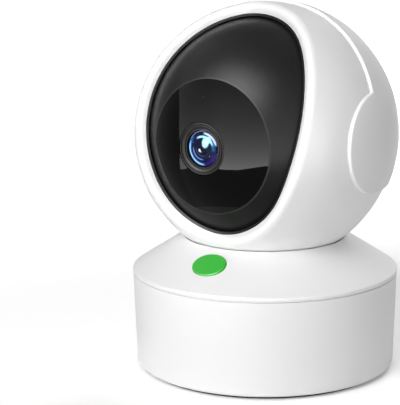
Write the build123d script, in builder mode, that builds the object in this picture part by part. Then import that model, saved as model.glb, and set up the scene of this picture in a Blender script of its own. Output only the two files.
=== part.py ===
from build123d import *
import os
from math import acos, cos, pi, radians, sin, sqrt, tan

# Pan and tilt pet camera. Millimetres, +Z up, the lens looks along -Y, the origin is the middle of
# the underside where the rubber foot meets the table. The head pans about Z. The eye tilts about X.

# Outer forms
head_radius = 41.3
head_wall = 2.2
head_seat_radius = 15.6       # flat under the head where it stands on the turntable
edge_radius = 41.335          # base at its bottom edge
seam_radius = 42.3            # base at the seam of its cover
edge_height = 1.0             # bottom edge of the base above the table
seam_height = 30.7
seam_gap = 0.25
seam_depth = 0.45             # groove between the housing and its cover
base_wall = 2.0
cover_slope = 32.64           # degrees, slope of the cover
cover_side = 1.07             # upright band of the cover under its shoulder
shoulder_round = 0.7
edge_round = 1.3              # bottom edge of the base
rim_round = 0.35
neck_gap = 0.28               # between the neck of the cover and the head
neck_depth = 5.2              # how far the neck skirt follows the head down

# Opening in the head, as angles from the direction it looks in, every 30 degrees round it
opening_look = 17.0           # degrees above the horizontal
opening_top = 68.2
opening_brow = 61.0
opening_shoulder = 50.8
opening_side = 46.9
opening_cheek = 49.9
opening_hip = 59.3
opening_bottom = 64.7
opening_depth = 3.4           # from the outer face of the head to the opening's inner edge
opening_round = 2.4
opening_lip = 2.9             # degrees of lip round the opening
trim_show = 0.5               # degrees of black trim inside the opening
trim_cover = 2.4              # degrees of black trim behind the lip
trim_thickness = 0.8
eye_gap = 0.5                 # between the trim and the eye

# Rear hood and its round ears
hood_proud = 0.9              # the hood stands this much above the front shell
hood_wall = 2.4
hood_seam_gap = 0.1
ear_radius = 15.5
ear_corner_round = 1.0        # where the seam meets the round ear
seam_edge_round = 0.6
seam_top_y = 6.0              # seam at the top of the head
seam_ear_y = -1.8             # seam where it meets the ear
hood_lip = 2.0
lip_wall = 1.2
lip_play = 0.25

# Eye
eye_wall = 2.0
eye_cut = 11.5                # flat back of the eye behind the tilt axis
boss_wall = 1.0
boss_inset = 4.35             # from the eye's inner face at its flat back
window_radius = 20.4
window_thickness = 1.8
window_ring_width = 0.45
window_ledge_width = 2.8
window_ledge_thickness = 1.2
window_ring_foot = 1.0        # the ring goes this far under the glass
fit_gap = 0.05
back_cover_thickness = 2.0
eye_screw_reach = 8.0         # below the head of the screw
tilt_down = 30.0              # degrees
tilt_up = 60.0

# Lens
lens_ring_radius = 8.0
lens_ring_depth = 5.7
lens_body_radius = 7.0
lens_thread_radius = 6.2
lens_mouth_radius = 6.4
lens_mouth_depth = 3.6
lens_lip_width = 0.5
lens_lip_depth = 0.8
front_lens_radius = 5.1
front_lens_curve = 9.0
front_lens_sink = 1.5
front_lens_thickness = 4.0
lens_bore_radius = 4.2
retainer_thickness = 1.2
retainer_edge = 0.5           # raised edge of the retainer
retainer_edge_width = 0.4
element_thickness = 2.0
holder_size = 18.0
holder_height = 6.0
sensor_size = 8.0
sensor_thickness = 1.0
camera_board_width = 40.0
camera_board_gap = 2.4        # between the board and the bosses of the eye
camera_board_forward = 8.0
camera_board_corner = 2.0
camera_post_inset = 3.0       # from the edges of the board
camera_chip = 12.0
camera_chip_height = 1.2
connector_width = 14.0
connector_depth = 4.0
connector_inset = 4.0         # from the upper edge of the board
board_thickness = 1.2
ir_board_radius = 20.3
ir_board_hole = 8.6
led_count = 6
led_radius = 1.9
led_height = 2.4
led_ring = 13.5
light_sensor_radius = 0.9
light_sensor_side = -0.38
light_sensor_up = 14.64

# Gears
gear_module = 0.8
pressure_angle = 20.0
gear_backlash = 0.14
pan_gear_teeth = 48
tilt_gear_teeth = 54
pinion_teeth = 16
gear_thickness = 3.8
tilt_gear_thickness = 3.2
tilt_gear_side = 8.4          # near face of the tilt gear along X
tilt_sector = 53.0            # degrees each way
pinion_overlap = 0.2          # the tilt pinion is wider by this on both sides
gear_flange_reach = 4.4       # flange of the tilt gear beside its teeth
gear_flange_tall = 18.0
gear_screw_spacing = 12.0
notch_gap = 0.5               # between the pan frame and the speaker's ribs

# Turntable and its bearing
frame_height = 22.0
frame_thickness = 2.5
frame_play = 0.4              # between the pan frame and the side wall
bearing_radius = 11.0
bearing_wall = 2.0
bearing_flange_radius = 13.0
bearing_flange = 0.7
bearing_length = 10.0
running_gap = 0.04
hub_radius = 9.0
hub_below = 1.5               # hub shows this much below its bearing
hub_bore = 6.0
floor_hole_gap = 0.5          # the hole in the head is wider than the bore
clip_thickness = 0.8
clip_groove = 0.8
clip_radius = 11.3
neck_radius = 15.0
turntable_top = 36.7
floor_pad = 2.0
floor_pad_radius = 18.0
turntable_screw_ring = 11.6

# Motors
pan_motor_radius = 10.0
pan_motor_height = 14.0
pan_ear_spacing = 25.0
pan_ear_radius = 3.0
pan_ear_thickness = 1.0
pan_shaft_radius = 1.5
tilt_motor_radius = 7.0
tilt_motor_length = 15.0
tilt_shaft_radius = 1.0
motor_bush_depth = 4.0
bracket_thickness = 1.5
bracket_gap = 0.7             # between the bracket and the tilt gear
bracket_foot_drop = 18.0
bracket_foot_width = 17.0
bracket_foot_front = 28.6
bracket_foot_back = 32.2
bracket_post_radius = 2.4
bracket_post_spacing = 10.5
tilt_motor_screw_spacing = 9.0

# Tilt pins and bushings
pin_radius = 2.0
pin_inner = 31.2
pin_outer = 40.2
bushing_wall = 1.4
bushing_inner = 30.4
pivot_boss_wall = 2.2
ear_boss_radius = 4.6
ear_boss_gap = 0.7

# Base insides
plate_thickness = 3.2
plate_gap = 0.1
foot_width = 5.8
foot_inset = 2.6              # from the edge of the base
foot_recess = 0.8
pillar_radius = 3.4
pillar_sink = 0.25            # into the side wall
pillar_web = 5.8              # width of the web between a pillar and the side wall
screw_radius = 1.3
screw_head_radius = 2.3
screw_head_height = 1.4
screw_hole_gap = 0.2
screw_tip_gap = 0.4           # a blind hole is deeper than its screw
small_screw_radius = 0.9
small_head_radius = 1.6
small_head_height = 0.9
board_screw_bite = 4.0        # into the posts of the camera board
case_screw_bite = 7.0         # into the pillars of the cover
tripod_hole_radius = 3.175
tripod_hole_depth = 7.5
tripod_insert_radius = 4.6
tripod_boss_radius = 6.5
tripod_cap = 0.7
ballast_inner = 8.0
ballast_outer = 24.0
ballast_thickness = 3.4
base_board_height = 10.8
base_board_inset = 5.8        # from the edge of the base
base_board_clear = 0.6        # round the pillars and the motor
chip_size = 9.0
chip_height = 1.0
chip_x = 22.0
chip_y = 1.0
chip_spacing = 14.0
header_width = 12.0
header_depth = 5.0
header_inset = 7.5            # from the edge of the board
standoff_radius = 2.2
spigot_height = 3.4
spigot_wall = 1.6
spigot_gap = 0.1

# Power socket and its recess at the back
port_height = 9.2
port_width = 13.0
port_tall = 7.0
port_corner = 1.5
port_depth_radius = 36.6      # bottom of the recess, from the pan axis
port_wall = 1.3
socket_width = 8.94
socket_tall = 3.2
socket_wall = 0.3
socket_length = 7.3
socket_back = 1.0
socket_end_flat = 0.01        # its ends stay this short of a half circle
tongue_width = 6.7
tongue_thickness = 0.7
tongue_inset = 0.5

# Memory card socket, reset button and speaker at the back
card_azimuth = -26.0          # degrees from the back, seen from above
card_width = 12.0
card_length = 15.0
card_tall = 2.0
card_slot_tall = 1.2
card_slot_width = 11.4
card_inset = 1.0              # behind the inner face of the side wall
reset_azimuth = 30.0
reset_radius = 1.6
reset_proud = 0.4
reset_travel = 0.5
reset_flange_radius = 2.4
reset_flange = 1.0
reset_stem = 0.6
reset_switch_width = 6.0
reset_switch_length = 3.4
reset_plunger = 1.0
speaker_width = 24.0
speaker_tall = 12.0
speaker_depth = 4.5
speaker_height = 21.0
speaker_corner = 1.5
speaker_hollow = 0.6
gasket_width = 1.8
gasket_corner = 1.0           # inside the gasket
grille_columns = 9
grille_rows = 4
grille_pitch = 2.3
grille_hole_radius = 0.6

# Call button on the front slope
call_across = 5.65            # half its width
call_along = 4.55             # half its length along the slope
call_ring = 32.1              # from the pan axis
call_proud = 0.25
call_travel = 0.6
call_side_gap = 0.15
call_flange_lip = 0.9
call_flange = 0.8
call_rest_gap = 0.1
call_guide_gap = 0.3
call_guide_wall = 1.0
call_guide_depth = 5.0
call_stem_radius = 1.5
call_stem = 1.5
call_edge_round = 0.3
switch_height = 1.8
switch_cap_height = 0.6
switch_size = 6.0
switch_cap_radius = 1.8
call_board_width = 24.0
call_board_length = 8.0
call_board_thickness = 1.0
call_board_corner = 1.0
call_post_spacing = 19.0
call_post_radius = 2.0

# Ribbon and antenna in the head
ribbon_width = 5.0
ribbon_offset = -1.2
ribbon_thickness = 0.4
ribbon_inset = 0.75           # from the inner face of the head
ribbon_play = 0.3
ribbon_turn = 42.0            # degrees
ribbon_end_gap = 1.0          # degrees, to the end of its way
antenna_width = 24.0
antenna_low = 14.0
antenna_high = 22.0
antenna_thickness = 0.3

# Sizes that follow
head_z = turntable_top + sqrt(head_radius ** 2 - head_seat_radius ** 2)
head_inner = head_radius - head_wall
ribbon_line = head_inner - ribbon_inset
opening_radius = head_radius - opening_depth
trim_inner = opening_radius - trim_thickness
eye_radius = trim_inner - eye_gap
eye_inner = eye_radius - eye_wall
hood_outer = head_radius + hood_proud
hood_inner = hood_outer - hood_wall
wall_slope = (seam_radius - edge_radius) / (seam_height - edge_height)
plate_top = edge_height + plate_thickness
edge_inner = edge_radius - base_wall
pillar_ring = edge_inner - pillar_radius + pillar_sink
foot_outer_radius = edge_radius - foot_inset
foot_inner_radius = foot_outer_radius - foot_width
base_board_radius = edge_radius - base_board_inset
frame_radius = edge_inner - frame_play
frame_top = frame_height + frame_thickness
gear_bottom = frame_top + bearing_flange
gear_top = gear_bottom + gear_thickness
bearing_bottom = frame_top - bearing_length
case_screw_reach = frame_top + case_screw_bite
pan_centres = gear_module * (pan_gear_teeth + pinion_teeth) / 2
tilt_centres = gear_module * (tilt_gear_teeth + pinion_teeth) / 2
tilt_middle = (tilt_up - tilt_down) / 2
tilt_motor_y = tilt_centres * cos(radians(tilt_middle))
tilt_motor_z = -tilt_centres * sin(radians(tilt_middle))
shoulder_height = seam_height + seam_gap + cover_side
slope = tan(radians(cover_slope))
head_point = (0, 0, head_z)
lens_axis = Axis(head_point, (0, -1, 0))
tilt_axis = Axis(head_point, (1, 0, 0))
lens_section = Plane(origin=head_point, x_dir=(1, 0, 0), z_dir=(0, 0, -1))
look = radians(opening_look)
look_plane = Plane(origin=head_point, x_dir=(1, 0, 0), z_dir=(0, -cos(look), sin(look)))


def wall_radius(height):
    # Outer radius of the base's side wall at a height
    return edge_radius + wall_slope * (height - edge_height)


def front_plane(forward):
    # Square to the lens axis, local x to the right and local y up
    return Plane(origin=(0, -forward, head_z), x_dir=(1, 0, 0), z_dir=(0, -1, 0))


def side_plane(sideways):
    # Square to the tilt axis, local x to the back and local y up
    return Plane(origin=(sideways, 0, head_z), x_dir=(0, 1, 0), z_dir=(1, 0, 0))


def wall_plane(azimuth, radius, height):
    # Faces outwards from the pan axis, azimuth counted from the back
    across = (-cos(radians(azimuth)), sin(radians(azimuth)), 0)
    out = (sin(radians(azimuth)), cos(radians(azimuth)), 0)
    place = (radius * out[0], radius * out[1], height)
    return Plane(origin=place, x_dir=across, z_dir=out)


def on_sphere(radius, off_axis):
    # Distance along an axis at which a sphere of this radius is off_axis wide
    return sqrt(radius ** 2 - off_axis ** 2)


speaker_bottom = speaker_height - speaker_tall / 2
speaker_face = on_sphere(wall_radius(speaker_bottom) - base_wall, speaker_width / 2)


def outline(*points):
    with BuildLine() as edge:
        Polyline(*points, close=True)
    make_face(edge.edges())


def opening_solid(extra):
    # Cone from the head's centre through the opening, widened by extra degrees
    clock = [opening_top, opening_brow, opening_shoulder, opening_side]
    clock += [opening_cheek, opening_hip, opening_bottom]
    angles = clock + clock[-2:0:-1]
    near = 6.0
    far = 1.2 * head_radius
    with BuildPart() as cone:
        for distance in (near, far):
            points = []
            for step, angle in enumerate(angles):
                reach = distance * tan(radians(angle + extra))
                turn = 2 * pi * step / len(angles)
                points.append((reach * sin(turn), reach * cos(turn)))
            with BuildSketch(look_plane.offset(distance)):
                with BuildLine():
                    Spline(*points, periodic=True)
                make_face()
        loft(ruled=True)
    return cone.part


def hood_region(grow):
    # Everything behind the seam and above the lowest point of the round ears
    lean = (seam_top_y - seam_ear_y) / (head_radius - ear_radius)
    far = 2 * head_radius
    radius = ear_radius + grow
    start = seam_ear_y - grow
    shoulder = on_sphere(radius, start)
    top = start + lean * (far - shoulder)
    with BuildPart() as region:
        with BuildSketch(side_plane(-far)) as side_view:
            outline((top, far), (start, shoulder), (0, -radius), (far, -radius), (far, far))
            Circle(radius)
            corner = side_view.vertices().sort_by_distance((start, shoulder, 0))[0]
            fillet(corner, ear_corner_round)
        extrude(amount=2 * far)
    return region.part


def shell_part(outer, inner, region):
    # The part of a hollow ball round the head's centre that lies in a region
    with BuildPart() as shell:
        with Locations(head_point):
            Sphere(outer)
            Sphere(inner, mode=Mode.SUBTRACT)
        add(region, mode=Mode.INTERSECT)
    return shell.part


def on_ball(edge, radius):
    # The whole edge is on a ball round the head's centre
    points = [edge.position_at(place) - Vector(*head_point) for place in (0.1, 0.4, 0.7)]
    return all(abs(point.length - radius) < 0.01 for point in points)


def on_opening_rim(edge):
    # On the outer face of the front shell, between the ears
    point = edge.position_at(0.4) - Vector(*head_point)
    between = abs(point.X) < on_sphere(head_radius, 1.5 * ear_radius)
    return on_ball(edge, head_radius) and point.Y < 0 and between


def on_hood_rim(edge):
    return on_ball(edge, hood_outer)


def call_oval(extra):
    # The call button's outline, widened all round
    Ellipse(call_across + extra, call_along + extra)


def gear_sketch(teeth, turned=0.0):
    # Involute gear outline, turned by an angle in degrees
    pitch = gear_module * teeth / 2
    base = pitch * cos(radians(pressure_angle))
    tip = pitch + gear_module
    root = pitch - 1.25 * gear_module
    start = max(base, root)
    spread = tan(radians(pressure_angle)) - radians(pressure_angle)
    half = pi / (2 * teeth) - gear_backlash / (2 * pitch) + spread
    steps = 4

    def flank(centre, side):
        points = []
        for step in range(steps + 1):
            radius = start + (tip - start) * step / steps
            roll = acos(min(1.0, base / radius))
            angle = centre + side * (half - (tan(roll) - roll))
            points.append((radius * cos(angle), radius * sin(angle)))
        if root < start:
            angle = centre + side * half
            points.insert(0, (root * cos(angle), root * sin(angle)))
        return points

    with BuildSketch() as gear:
        with BuildLine():
            for tooth in range(teeth):
                centre = radians(turned) + 2 * pi * tooth / teeth
                rise = flank(centre, -1)
                fall = flank(centre, 1)
                after = flank(centre + 2 * pi / teeth, -1)
                Polyline(*rise)
                ThreePointArc(rise[-1], (tip * cos(centre), tip * sin(centre)), fall[-1])
                Polyline(*fall[::-1])
                gap = centre + pi / teeth
                ThreePointArc(fall[0], (root * cos(gap), root * sin(gap)), after[0])
        make_face()
    return gear.sketch


opening = opening_solid(0)
lip_region = opening_solid(opening_lip)
trim_hole = opening_solid(-trim_show)
trim_region = opening_solid(trim_cover)
hood_space = hood_region(0)
hood_cut = hood_region(hood_seam_gap)
hood_lip_region = hood_region(hood_lip)
hood_lip_hole = hood_region(-hood_lip)

# Way of the ribbon from the hub round the back of the eye
with BuildPart() as ribbon_way:
    with BuildSketch(Plane.XZ):
        with Locations((ribbon_offset, head_z - ribbon_line)):
            Rectangle(ribbon_width + 2 * ribbon_play, ribbon_thickness + 2 * ribbon_play)
    revolve(axis=tilt_axis, revolution_arc=ribbon_turn)

# Base housing: side wall, screw pillars, port recess, speaker ribs and grille
port_out = wall_radius(port_height)
rib_back = speaker_face + base_wall / 2
rib_front = speaker_face - speaker_depth - base_wall
rib_spacing = speaker_width + 2 * fit_gap + port_wall
web_length = pillar_radius + base_wall / 2
with BuildPart() as base_housing:
    with BuildSketch(Plane.XZ):
        outline(
            (edge_inner, edge_height),
            (edge_radius, edge_height),
            (seam_radius, seam_height),
            (seam_radius - seam_depth, seam_height),
            (seam_radius - seam_depth, seam_height + seam_gap),
            (seam_radius - base_wall, seam_height + seam_gap),
        )
    revolve(axis=Axis.Z)
    circles = base_housing.edges().filter_by(GeomType.CIRCLE)
    fillet(circles.filter_by(lambda edge: abs(edge.radius - edge_radius) < 0.01), edge_round)
    with BuildSketch(Plane.XY.offset(plate_top)):
        with PolarLocations(pillar_ring, 4, start_angle=45):
            Circle(pillar_radius)
            with Locations((web_length / 2, 0)):
                Rectangle(web_length, pillar_web)
    extrude(amount=frame_height - plate_top)
    with BuildSketch(wall_plane(0, port_depth_radius - port_wall, port_height)):
        Rectangle(port_width + 2 * port_wall, port_tall + 2 * port_wall)
    extrude(amount=port_out - base_wall / 2 - port_depth_radius + port_wall)
    with BuildSketch(Plane.XY.offset(speaker_bottom)):
        with Locations((0, (rib_back + rib_front) / 2)):
            with GridLocations(rib_spacing, 0, 2, 1):
                Rectangle(port_wall, rib_back - rib_front)
    extrude(amount=speaker_tall)
    with BuildSketch(Plane.XY):
        with PolarLocations(pillar_ring, 4, start_angle=45):
            Circle(screw_radius + screw_hole_gap)
    extrude(amount=frame_height, mode=Mode.SUBTRACT)
    with BuildSketch(wall_plane(0, port_depth_radius, port_height)):
        RectangleRounded(port_width, port_tall, port_corner)
    extrude(amount=head_radius, mode=Mode.SUBTRACT)
    with BuildSketch(wall_plane(0, port_depth_radius, port_height)):
        RectangleRounded(socket_width + 2 * fit_gap, socket_tall + 2 * fit_gap, socket_tall / 2)
    extrude(amount=-socket_length, mode=Mode.SUBTRACT)
    card_height = base_board_height - card_tall / 2
    with BuildSketch(wall_plane(card_azimuth, port_depth_radius, card_height)):
        Rectangle(card_slot_width, card_slot_tall)
    extrude(amount=head_radius, mode=Mode.SUBTRACT)
    with BuildSketch(wall_plane(reset_azimuth, port_depth_radius, port_height)):
        Circle(reset_radius + call_side_gap)
    extrude(amount=head_radius, mode=Mode.SUBTRACT)
    with BuildSketch(wall_plane(0, port_depth_radius, speaker_height)):
        with GridLocations(grille_pitch, grille_pitch, grille_columns, grille_rows):
            Circle(grille_hole_radius)
    extrude(amount=head_radius, mode=Mode.SUBTRACT)

# Top cover: upright band, shoulder, slope, neck with its skirt round the head
cover_bottom = seam_height + seam_gap
socket_radius = head_radius + neck_gap


def slope_height(radius):
    # Outer face of the cover's slope
    return shoulder_height + slope * (wall_radius(shoulder_height) - radius)


def slope_meets_ball(ball_radius, drop):
    # Radius from the pan axis at which the slope, lowered by drop, meets a ball round the head's centre
    above = slope_height(0) - drop - head_z
    across = 1 + slope ** 2
    return (slope * above + sqrt((slope * above) ** 2 - across * (above ** 2 - ball_radius ** 2))) / across


cover_wall_z = base_wall / cos(radians(cover_slope))
rim_radius = slope_meets_ball(socket_radius, 0)
rim_height = slope_height(rim_radius)
under_radius = slope_meets_ball(socket_radius + base_wall, cover_wall_z)
skirt_bottom = rim_height - neck_depth
skirt_radius = on_sphere(socket_radius, head_z - skirt_bottom)
skirt_outer = on_sphere(socket_radius + base_wall, head_z - skirt_bottom)
skirt_middle_z = (rim_height + skirt_bottom) / 2
skirt_middle = on_sphere(socket_radius, head_z - skirt_middle_z)
spigot_radius = wall_radius(cover_bottom - spigot_height) - base_wall - spigot_gap
call_normal = (0, -sin(radians(cover_slope)), cos(radians(cover_slope)))
call_point = (0, -call_ring, slope_height(call_ring))
call_plane = Plane(origin=call_point, x_dir=(1, 0, 0), z_dir=call_normal)
call_board_top = base_wall + call_rest_gap + call_flange + call_stem + call_travel + fit_gap + switch_height

inner_shoulder = wall_radius(shoulder_height) - base_wall
with BuildPart() as base_top_cover:
    with BuildSketch(Plane.XY.offset(frame_top)):
        with PolarLocations(pillar_ring, 4, start_angle=45):
            Circle(pillar_radius - spigot_gap)
    extrude(amount=rim_height - frame_top)
    with BuildSketch(call_plane):
        call_oval(call_flange_lip + call_guide_gap + call_guide_wall)
    extrude(amount=-call_guide_depth)
    with BuildSketch(call_plane):
        with GridLocations(call_post_spacing, 0, 2, 1):
            Circle(call_post_radius)
    extrude(amount=-call_board_top)
    with BuildSketch(Plane.XZ):
        outline(
            (0, slope_height(0) - cover_wall_z / 2),
            (inner_shoulder, slope_height(inner_shoulder) - cover_wall_z / 2),
            (inner_shoulder, cover_bottom),
            (spigot_radius, cover_bottom),
            (spigot_radius, frame_top),
            (0, frame_top),
        )
    revolve(axis=Axis.Z, mode=Mode.INTERSECT)
    with BuildSketch(Plane.XZ):
        with BuildLine() as section:
            rim = Polyline(
                (rim_radius, rim_height),
                (wall_radius(shoulder_height), shoulder_height),
                (wall_radius(cover_bottom), cover_bottom),
                (spigot_radius, cover_bottom),
                (spigot_radius, cover_bottom - spigot_height),
                (spigot_radius - spigot_wall, cover_bottom - spigot_height),
                (inner_shoulder, slope_height(inner_shoulder) - cover_wall_z),
                (under_radius, slope_height(under_radius) - cover_wall_z),
                (skirt_outer, skirt_bottom),
                (skirt_radius, skirt_bottom),
            )
            ThreePointArc(rim @ 1, (skirt_middle, skirt_middle_z), rim @ 0)
        make_face(section.edges())
    revolve(axis=Axis.Z)
    circles = base_top_cover.edges().filter_by(GeomType.CIRCLE)
    fillet(circles.filter_by(lambda edge: abs(edge.center().Z - rim_height) < 0.01), rim_round)
    circles = base_top_cover.edges().filter_by(GeomType.CIRCLE)
    fillet(circles.filter_by(lambda edge: abs(edge.center().Z - shoulder_height) < 0.01), shoulder_round)
    with Locations(head_point):
        Sphere(socket_radius, mode=Mode.SUBTRACT)
    with BuildSketch(Plane.XY.offset(frame_top)):
        with PolarLocations(pillar_ring, 4, start_angle=45):
            Circle(screw_radius)
    extrude(amount=case_screw_reach - frame_top, mode=Mode.SUBTRACT)
    with BuildSketch(call_plane.offset(base_wall)):
        call_oval(call_side_gap)
    extrude(amount=-call_guide_depth - base_wall, mode=Mode.SUBTRACT)
    with BuildSketch(call_plane.offset(-base_wall)):
        call_oval(call_flange_lip + call_guide_gap)
    extrude(amount=-call_guide_depth, mode=Mode.SUBTRACT)
    with BuildSketch(call_plane.offset(-call_board_top)):
        with GridLocations(call_post_spacing, 0, 2, 1):
            Circle(small_screw_radius)
    extrude(amount=call_board_top - 2 * base_wall, mode=Mode.SUBTRACT)

# Bottom plate with the boss of the tripod insert and the board's stand-offs
plate_radius = edge_inner - plate_gap
standoff_places = [(15.0, -26.0), (-15.0, -26.0), (12.0, 24.0)]
insert_top = edge_height + tripod_hole_depth + tripod_cap
with BuildPart() as bottom_plate:
    with BuildSketch(Plane.XY.offset(edge_height)):
        Circle(plate_radius)
    extrude(amount=plate_thickness)
    with BuildSketch(Plane.XY.offset(plate_top)):
        Circle(tripod_boss_radius)
    extrude(amount=insert_top + tripod_cap - plate_top)
    with BuildSketch(Plane.XY.offset(plate_top)):
        with Locations(*standoff_places):
            Circle(standoff_radius)
    extrude(amount=base_board_height - plate_top)
    with BuildSketch(Plane.XY.offset(edge_height)):
        Circle(foot_outer_radius)
        Circle(foot_inner_radius, mode=Mode.SUBTRACT)
    extrude(amount=foot_recess, mode=Mode.SUBTRACT)
    with BuildSketch(Plane.XY.offset(edge_height + foot_recess)):
        with PolarLocations(pillar_ring, 4, start_angle=45):
            Circle(screw_head_radius + fit_gap)
    extrude(amount=screw_head_height, mode=Mode.SUBTRACT)
    with BuildSketch(Plane.XY.offset(edge_height)):
        with PolarLocations(pillar_ring, 4, start_angle=45):
            Circle(screw_radius + screw_hole_gap)
    extrude(amount=plate_thickness, mode=Mode.SUBTRACT)
    with BuildSketch(Plane.XY.offset(edge_height)):
        Circle(tripod_insert_radius)
    extrude(amount=insert_top - edge_height, mode=Mode.SUBTRACT)
    with BuildSketch(Plane.XY.offset(plate_top)):
        with Locations(*standoff_places):
            Circle(small_screw_radius)
    extrude(amount=base_board_height - plate_top, mode=Mode.SUBTRACT)

with BuildPart() as rubber_foot:
    with BuildSketch(Plane.XY):
        Circle(foot_outer_radius)
        Circle(foot_inner_radius, mode=Mode.SUBTRACT)
    extrude(amount=edge_height + foot_recess)

with BuildPart() as tripod_insert:
    with BuildSketch(Plane.XY.offset(edge_height)):
        Circle(tripod_insert_radius)
    extrude(amount=insert_top - edge_height)
    with BuildSketch(Plane.XY.offset(edge_height)):
        Circle(tripod_hole_radius)
    extrude(amount=tripod_hole_depth, mode=Mode.SUBTRACT)

with BuildPart() as ballast_plate:
    with BuildSketch(Plane.XY.offset(plate_top)):
        Circle(ballast_outer)
        Circle(ballast_inner, mode=Mode.SUBTRACT)
    extrude(amount=ballast_thickness)

screw_seat = edge_height + foot_recess + screw_head_height
with BuildPart() as case_screws:
    with BuildSketch(Plane.XY.offset(screw_seat - screw_head_height)):
        with PolarLocations(pillar_ring, 4, start_angle=45):
            Circle(screw_head_radius)
    extrude(amount=screw_head_height)
    with BuildSketch(Plane.XY.offset(screw_seat)):
        with PolarLocations(pillar_ring, 4, start_angle=45):
            Circle(screw_radius)
    extrude(amount=case_screw_reach - screw_seat)

# Pan frame with the bearing's boss
pan_motor_place = (-pan_centres, 0)
with BuildPart() as pan_frame:
    with BuildSketch(Plane.XY.offset(frame_height)):
        Circle(frame_radius)
        with Locations((0, rib_front - notch_gap + frame_radius / 2)):
            Rectangle(rib_spacing + port_wall + 2 * notch_gap, frame_radius, mode=Mode.SUBTRACT)
        with PolarLocations(pillar_ring, 4, start_angle=45):
            Circle(screw_radius + screw_hole_gap, mode=Mode.SUBTRACT)
        with Locations(pan_motor_place):
            Circle(2 * pan_shaft_radius, mode=Mode.SUBTRACT)
            with GridLocations(0, pan_ear_spacing, 1, 2):
                Circle(screw_radius, mode=Mode.SUBTRACT)
    extrude(amount=frame_thickness)
    with BuildSketch(Plane.XY.offset(bearing_bottom)):
        Circle(bearing_radius + bearing_wall)
    extrude(amount=frame_top - bearing_bottom)
    with BuildSketch(Plane.XY.offset(bearing_bottom)):
        Circle(bearing_radius)
    extrude(amount=frame_top - bearing_bottom, mode=Mode.SUBTRACT)

with BuildPart() as pan_bearing:
    with BuildSketch(Plane.XY.offset(bearing_bottom)):
        Circle(bearing_radius)
    extrude(amount=gear_bottom - bearing_bottom)
    with BuildSketch(Plane.XY.offset(frame_top)):
        Circle(bearing_flange_radius)
    extrude(amount=bearing_flange)
    with BuildSketch(Plane.XY.offset(bearing_bottom)):
        Circle(hub_radius + running_gap)
    extrude(amount=gear_bottom - bearing_bottom, mode=Mode.SUBTRACT)

ear_top = frame_height
with BuildPart() as pan_motor:
    with BuildSketch(Plane.XY.offset(frame_height - pan_motor_height)):
        with Locations(pan_motor_place):
            Circle(pan_motor_radius)
    extrude(amount=pan_motor_height)
    with BuildSketch(Plane.XY.offset(ear_top - pan_ear_thickness)):
        with Locations(pan_motor_place):
            Rectangle(2 * pan_ear_radius, pan_ear_spacing)
            with GridLocations(0, pan_ear_spacing, 1, 2):
                Circle(pan_ear_radius)
    extrude(amount=pan_ear_thickness)
    with BuildSketch(Plane.XY.offset(ear_top - pan_ear_thickness)):
        with Locations(pan_motor_place):
            with GridLocations(0, pan_ear_spacing, 1, 2):
                Circle(screw_radius + screw_hole_gap)
    extrude(amount=pan_ear_thickness, mode=Mode.SUBTRACT)
    with BuildSketch(Plane.XY.offset(frame_height)):
        with Locations(pan_motor_place):
            Circle(pan_shaft_radius + running_gap)
    extrude(amount=-motor_bush_depth, mode=Mode.SUBTRACT)

with BuildPart() as pan_motor_screws:
    with BuildSketch(Plane.XY.offset(ear_top - pan_ear_thickness)):
        with Locations(pan_motor_place):
            with GridLocations(0, pan_ear_spacing, 1, 2):
                Circle(screw_head_radius)
    extrude(amount=-screw_head_height)
    with BuildSketch(Plane.XY.offset(ear_top - pan_ear_thickness)):
        with Locations(pan_motor_place):
            with GridLocations(0, pan_ear_spacing, 1, 2):
                Circle(screw_radius)
    extrude(amount=pan_ear_thickness + frame_thickness)

shaft_top = gear_top + gear_backlash
with BuildPart() as pan_motor_shaft:
    with BuildSketch(Plane.XY.offset(frame_height - motor_bush_depth + fit_gap)):
        with Locations(pan_motor_place):
            Circle(pan_shaft_radius)
    extrude(amount=shaft_top - frame_height + motor_bush_depth)

pinion_bottom = frame_top + bearing_flange / 2
with BuildPart() as pan_pinion:
    with BuildSketch(Plane((-pan_centres, 0, pinion_bottom))):
        add(gear_sketch(pinion_teeth, 180 / pinion_teeth))
        Circle(pan_shaft_radius, mode=Mode.SUBTRACT)
    extrude(amount=gear_top - pinion_bottom)

# Main board with its sockets and the reset switch
with BuildPart() as base_board:
    with BuildSketch(Plane.XY.offset(base_board_height)):
        Circle(base_board_radius)
        with PolarLocations(pillar_ring, 4, start_angle=45):
            Circle(pillar_radius + base_board_clear, mode=Mode.SUBTRACT)
        with Locations(pan_motor_place):
            Circle(pan_motor_radius + base_board_clear, mode=Mode.SUBTRACT)
            Rectangle(3 * pan_motor_radius, 2 * pan_motor_radius, mode=Mode.SUBTRACT)
        with Locations((0, port_depth_radius)):
            Rectangle(port_width + 4 * port_wall, 4 * port_wall, mode=Mode.SUBTRACT)
        with Locations(*standoff_places):
            Circle(small_screw_radius + fit_gap, mode=Mode.SUBTRACT)
    extrude(amount=board_thickness)
    with BuildSketch(Plane.XY.offset(base_board_height + board_thickness)):
        with Locations((chip_x, chip_y)):
            with GridLocations(0, chip_spacing, 1, 2):
                Rectangle(chip_size, chip_size)
        with Locations((0, header_inset - base_board_radius)):
            Rectangle(header_width, header_depth)
    extrude(amount=chip_height)

board_top = base_board_height + board_thickness
with BuildPart() as base_board_screws:
    with BuildSketch(Plane.XY.offset(board_top)):
        with Locations(*standoff_places):
            Circle(small_head_radius)
    extrude(amount=small_head_height)
    with BuildSketch(Plane.XY.offset(board_top)):
        with Locations(*standoff_places):
            Circle(small_screw_radius)
    extrude(amount=plate_top + board_thickness - board_top)

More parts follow.
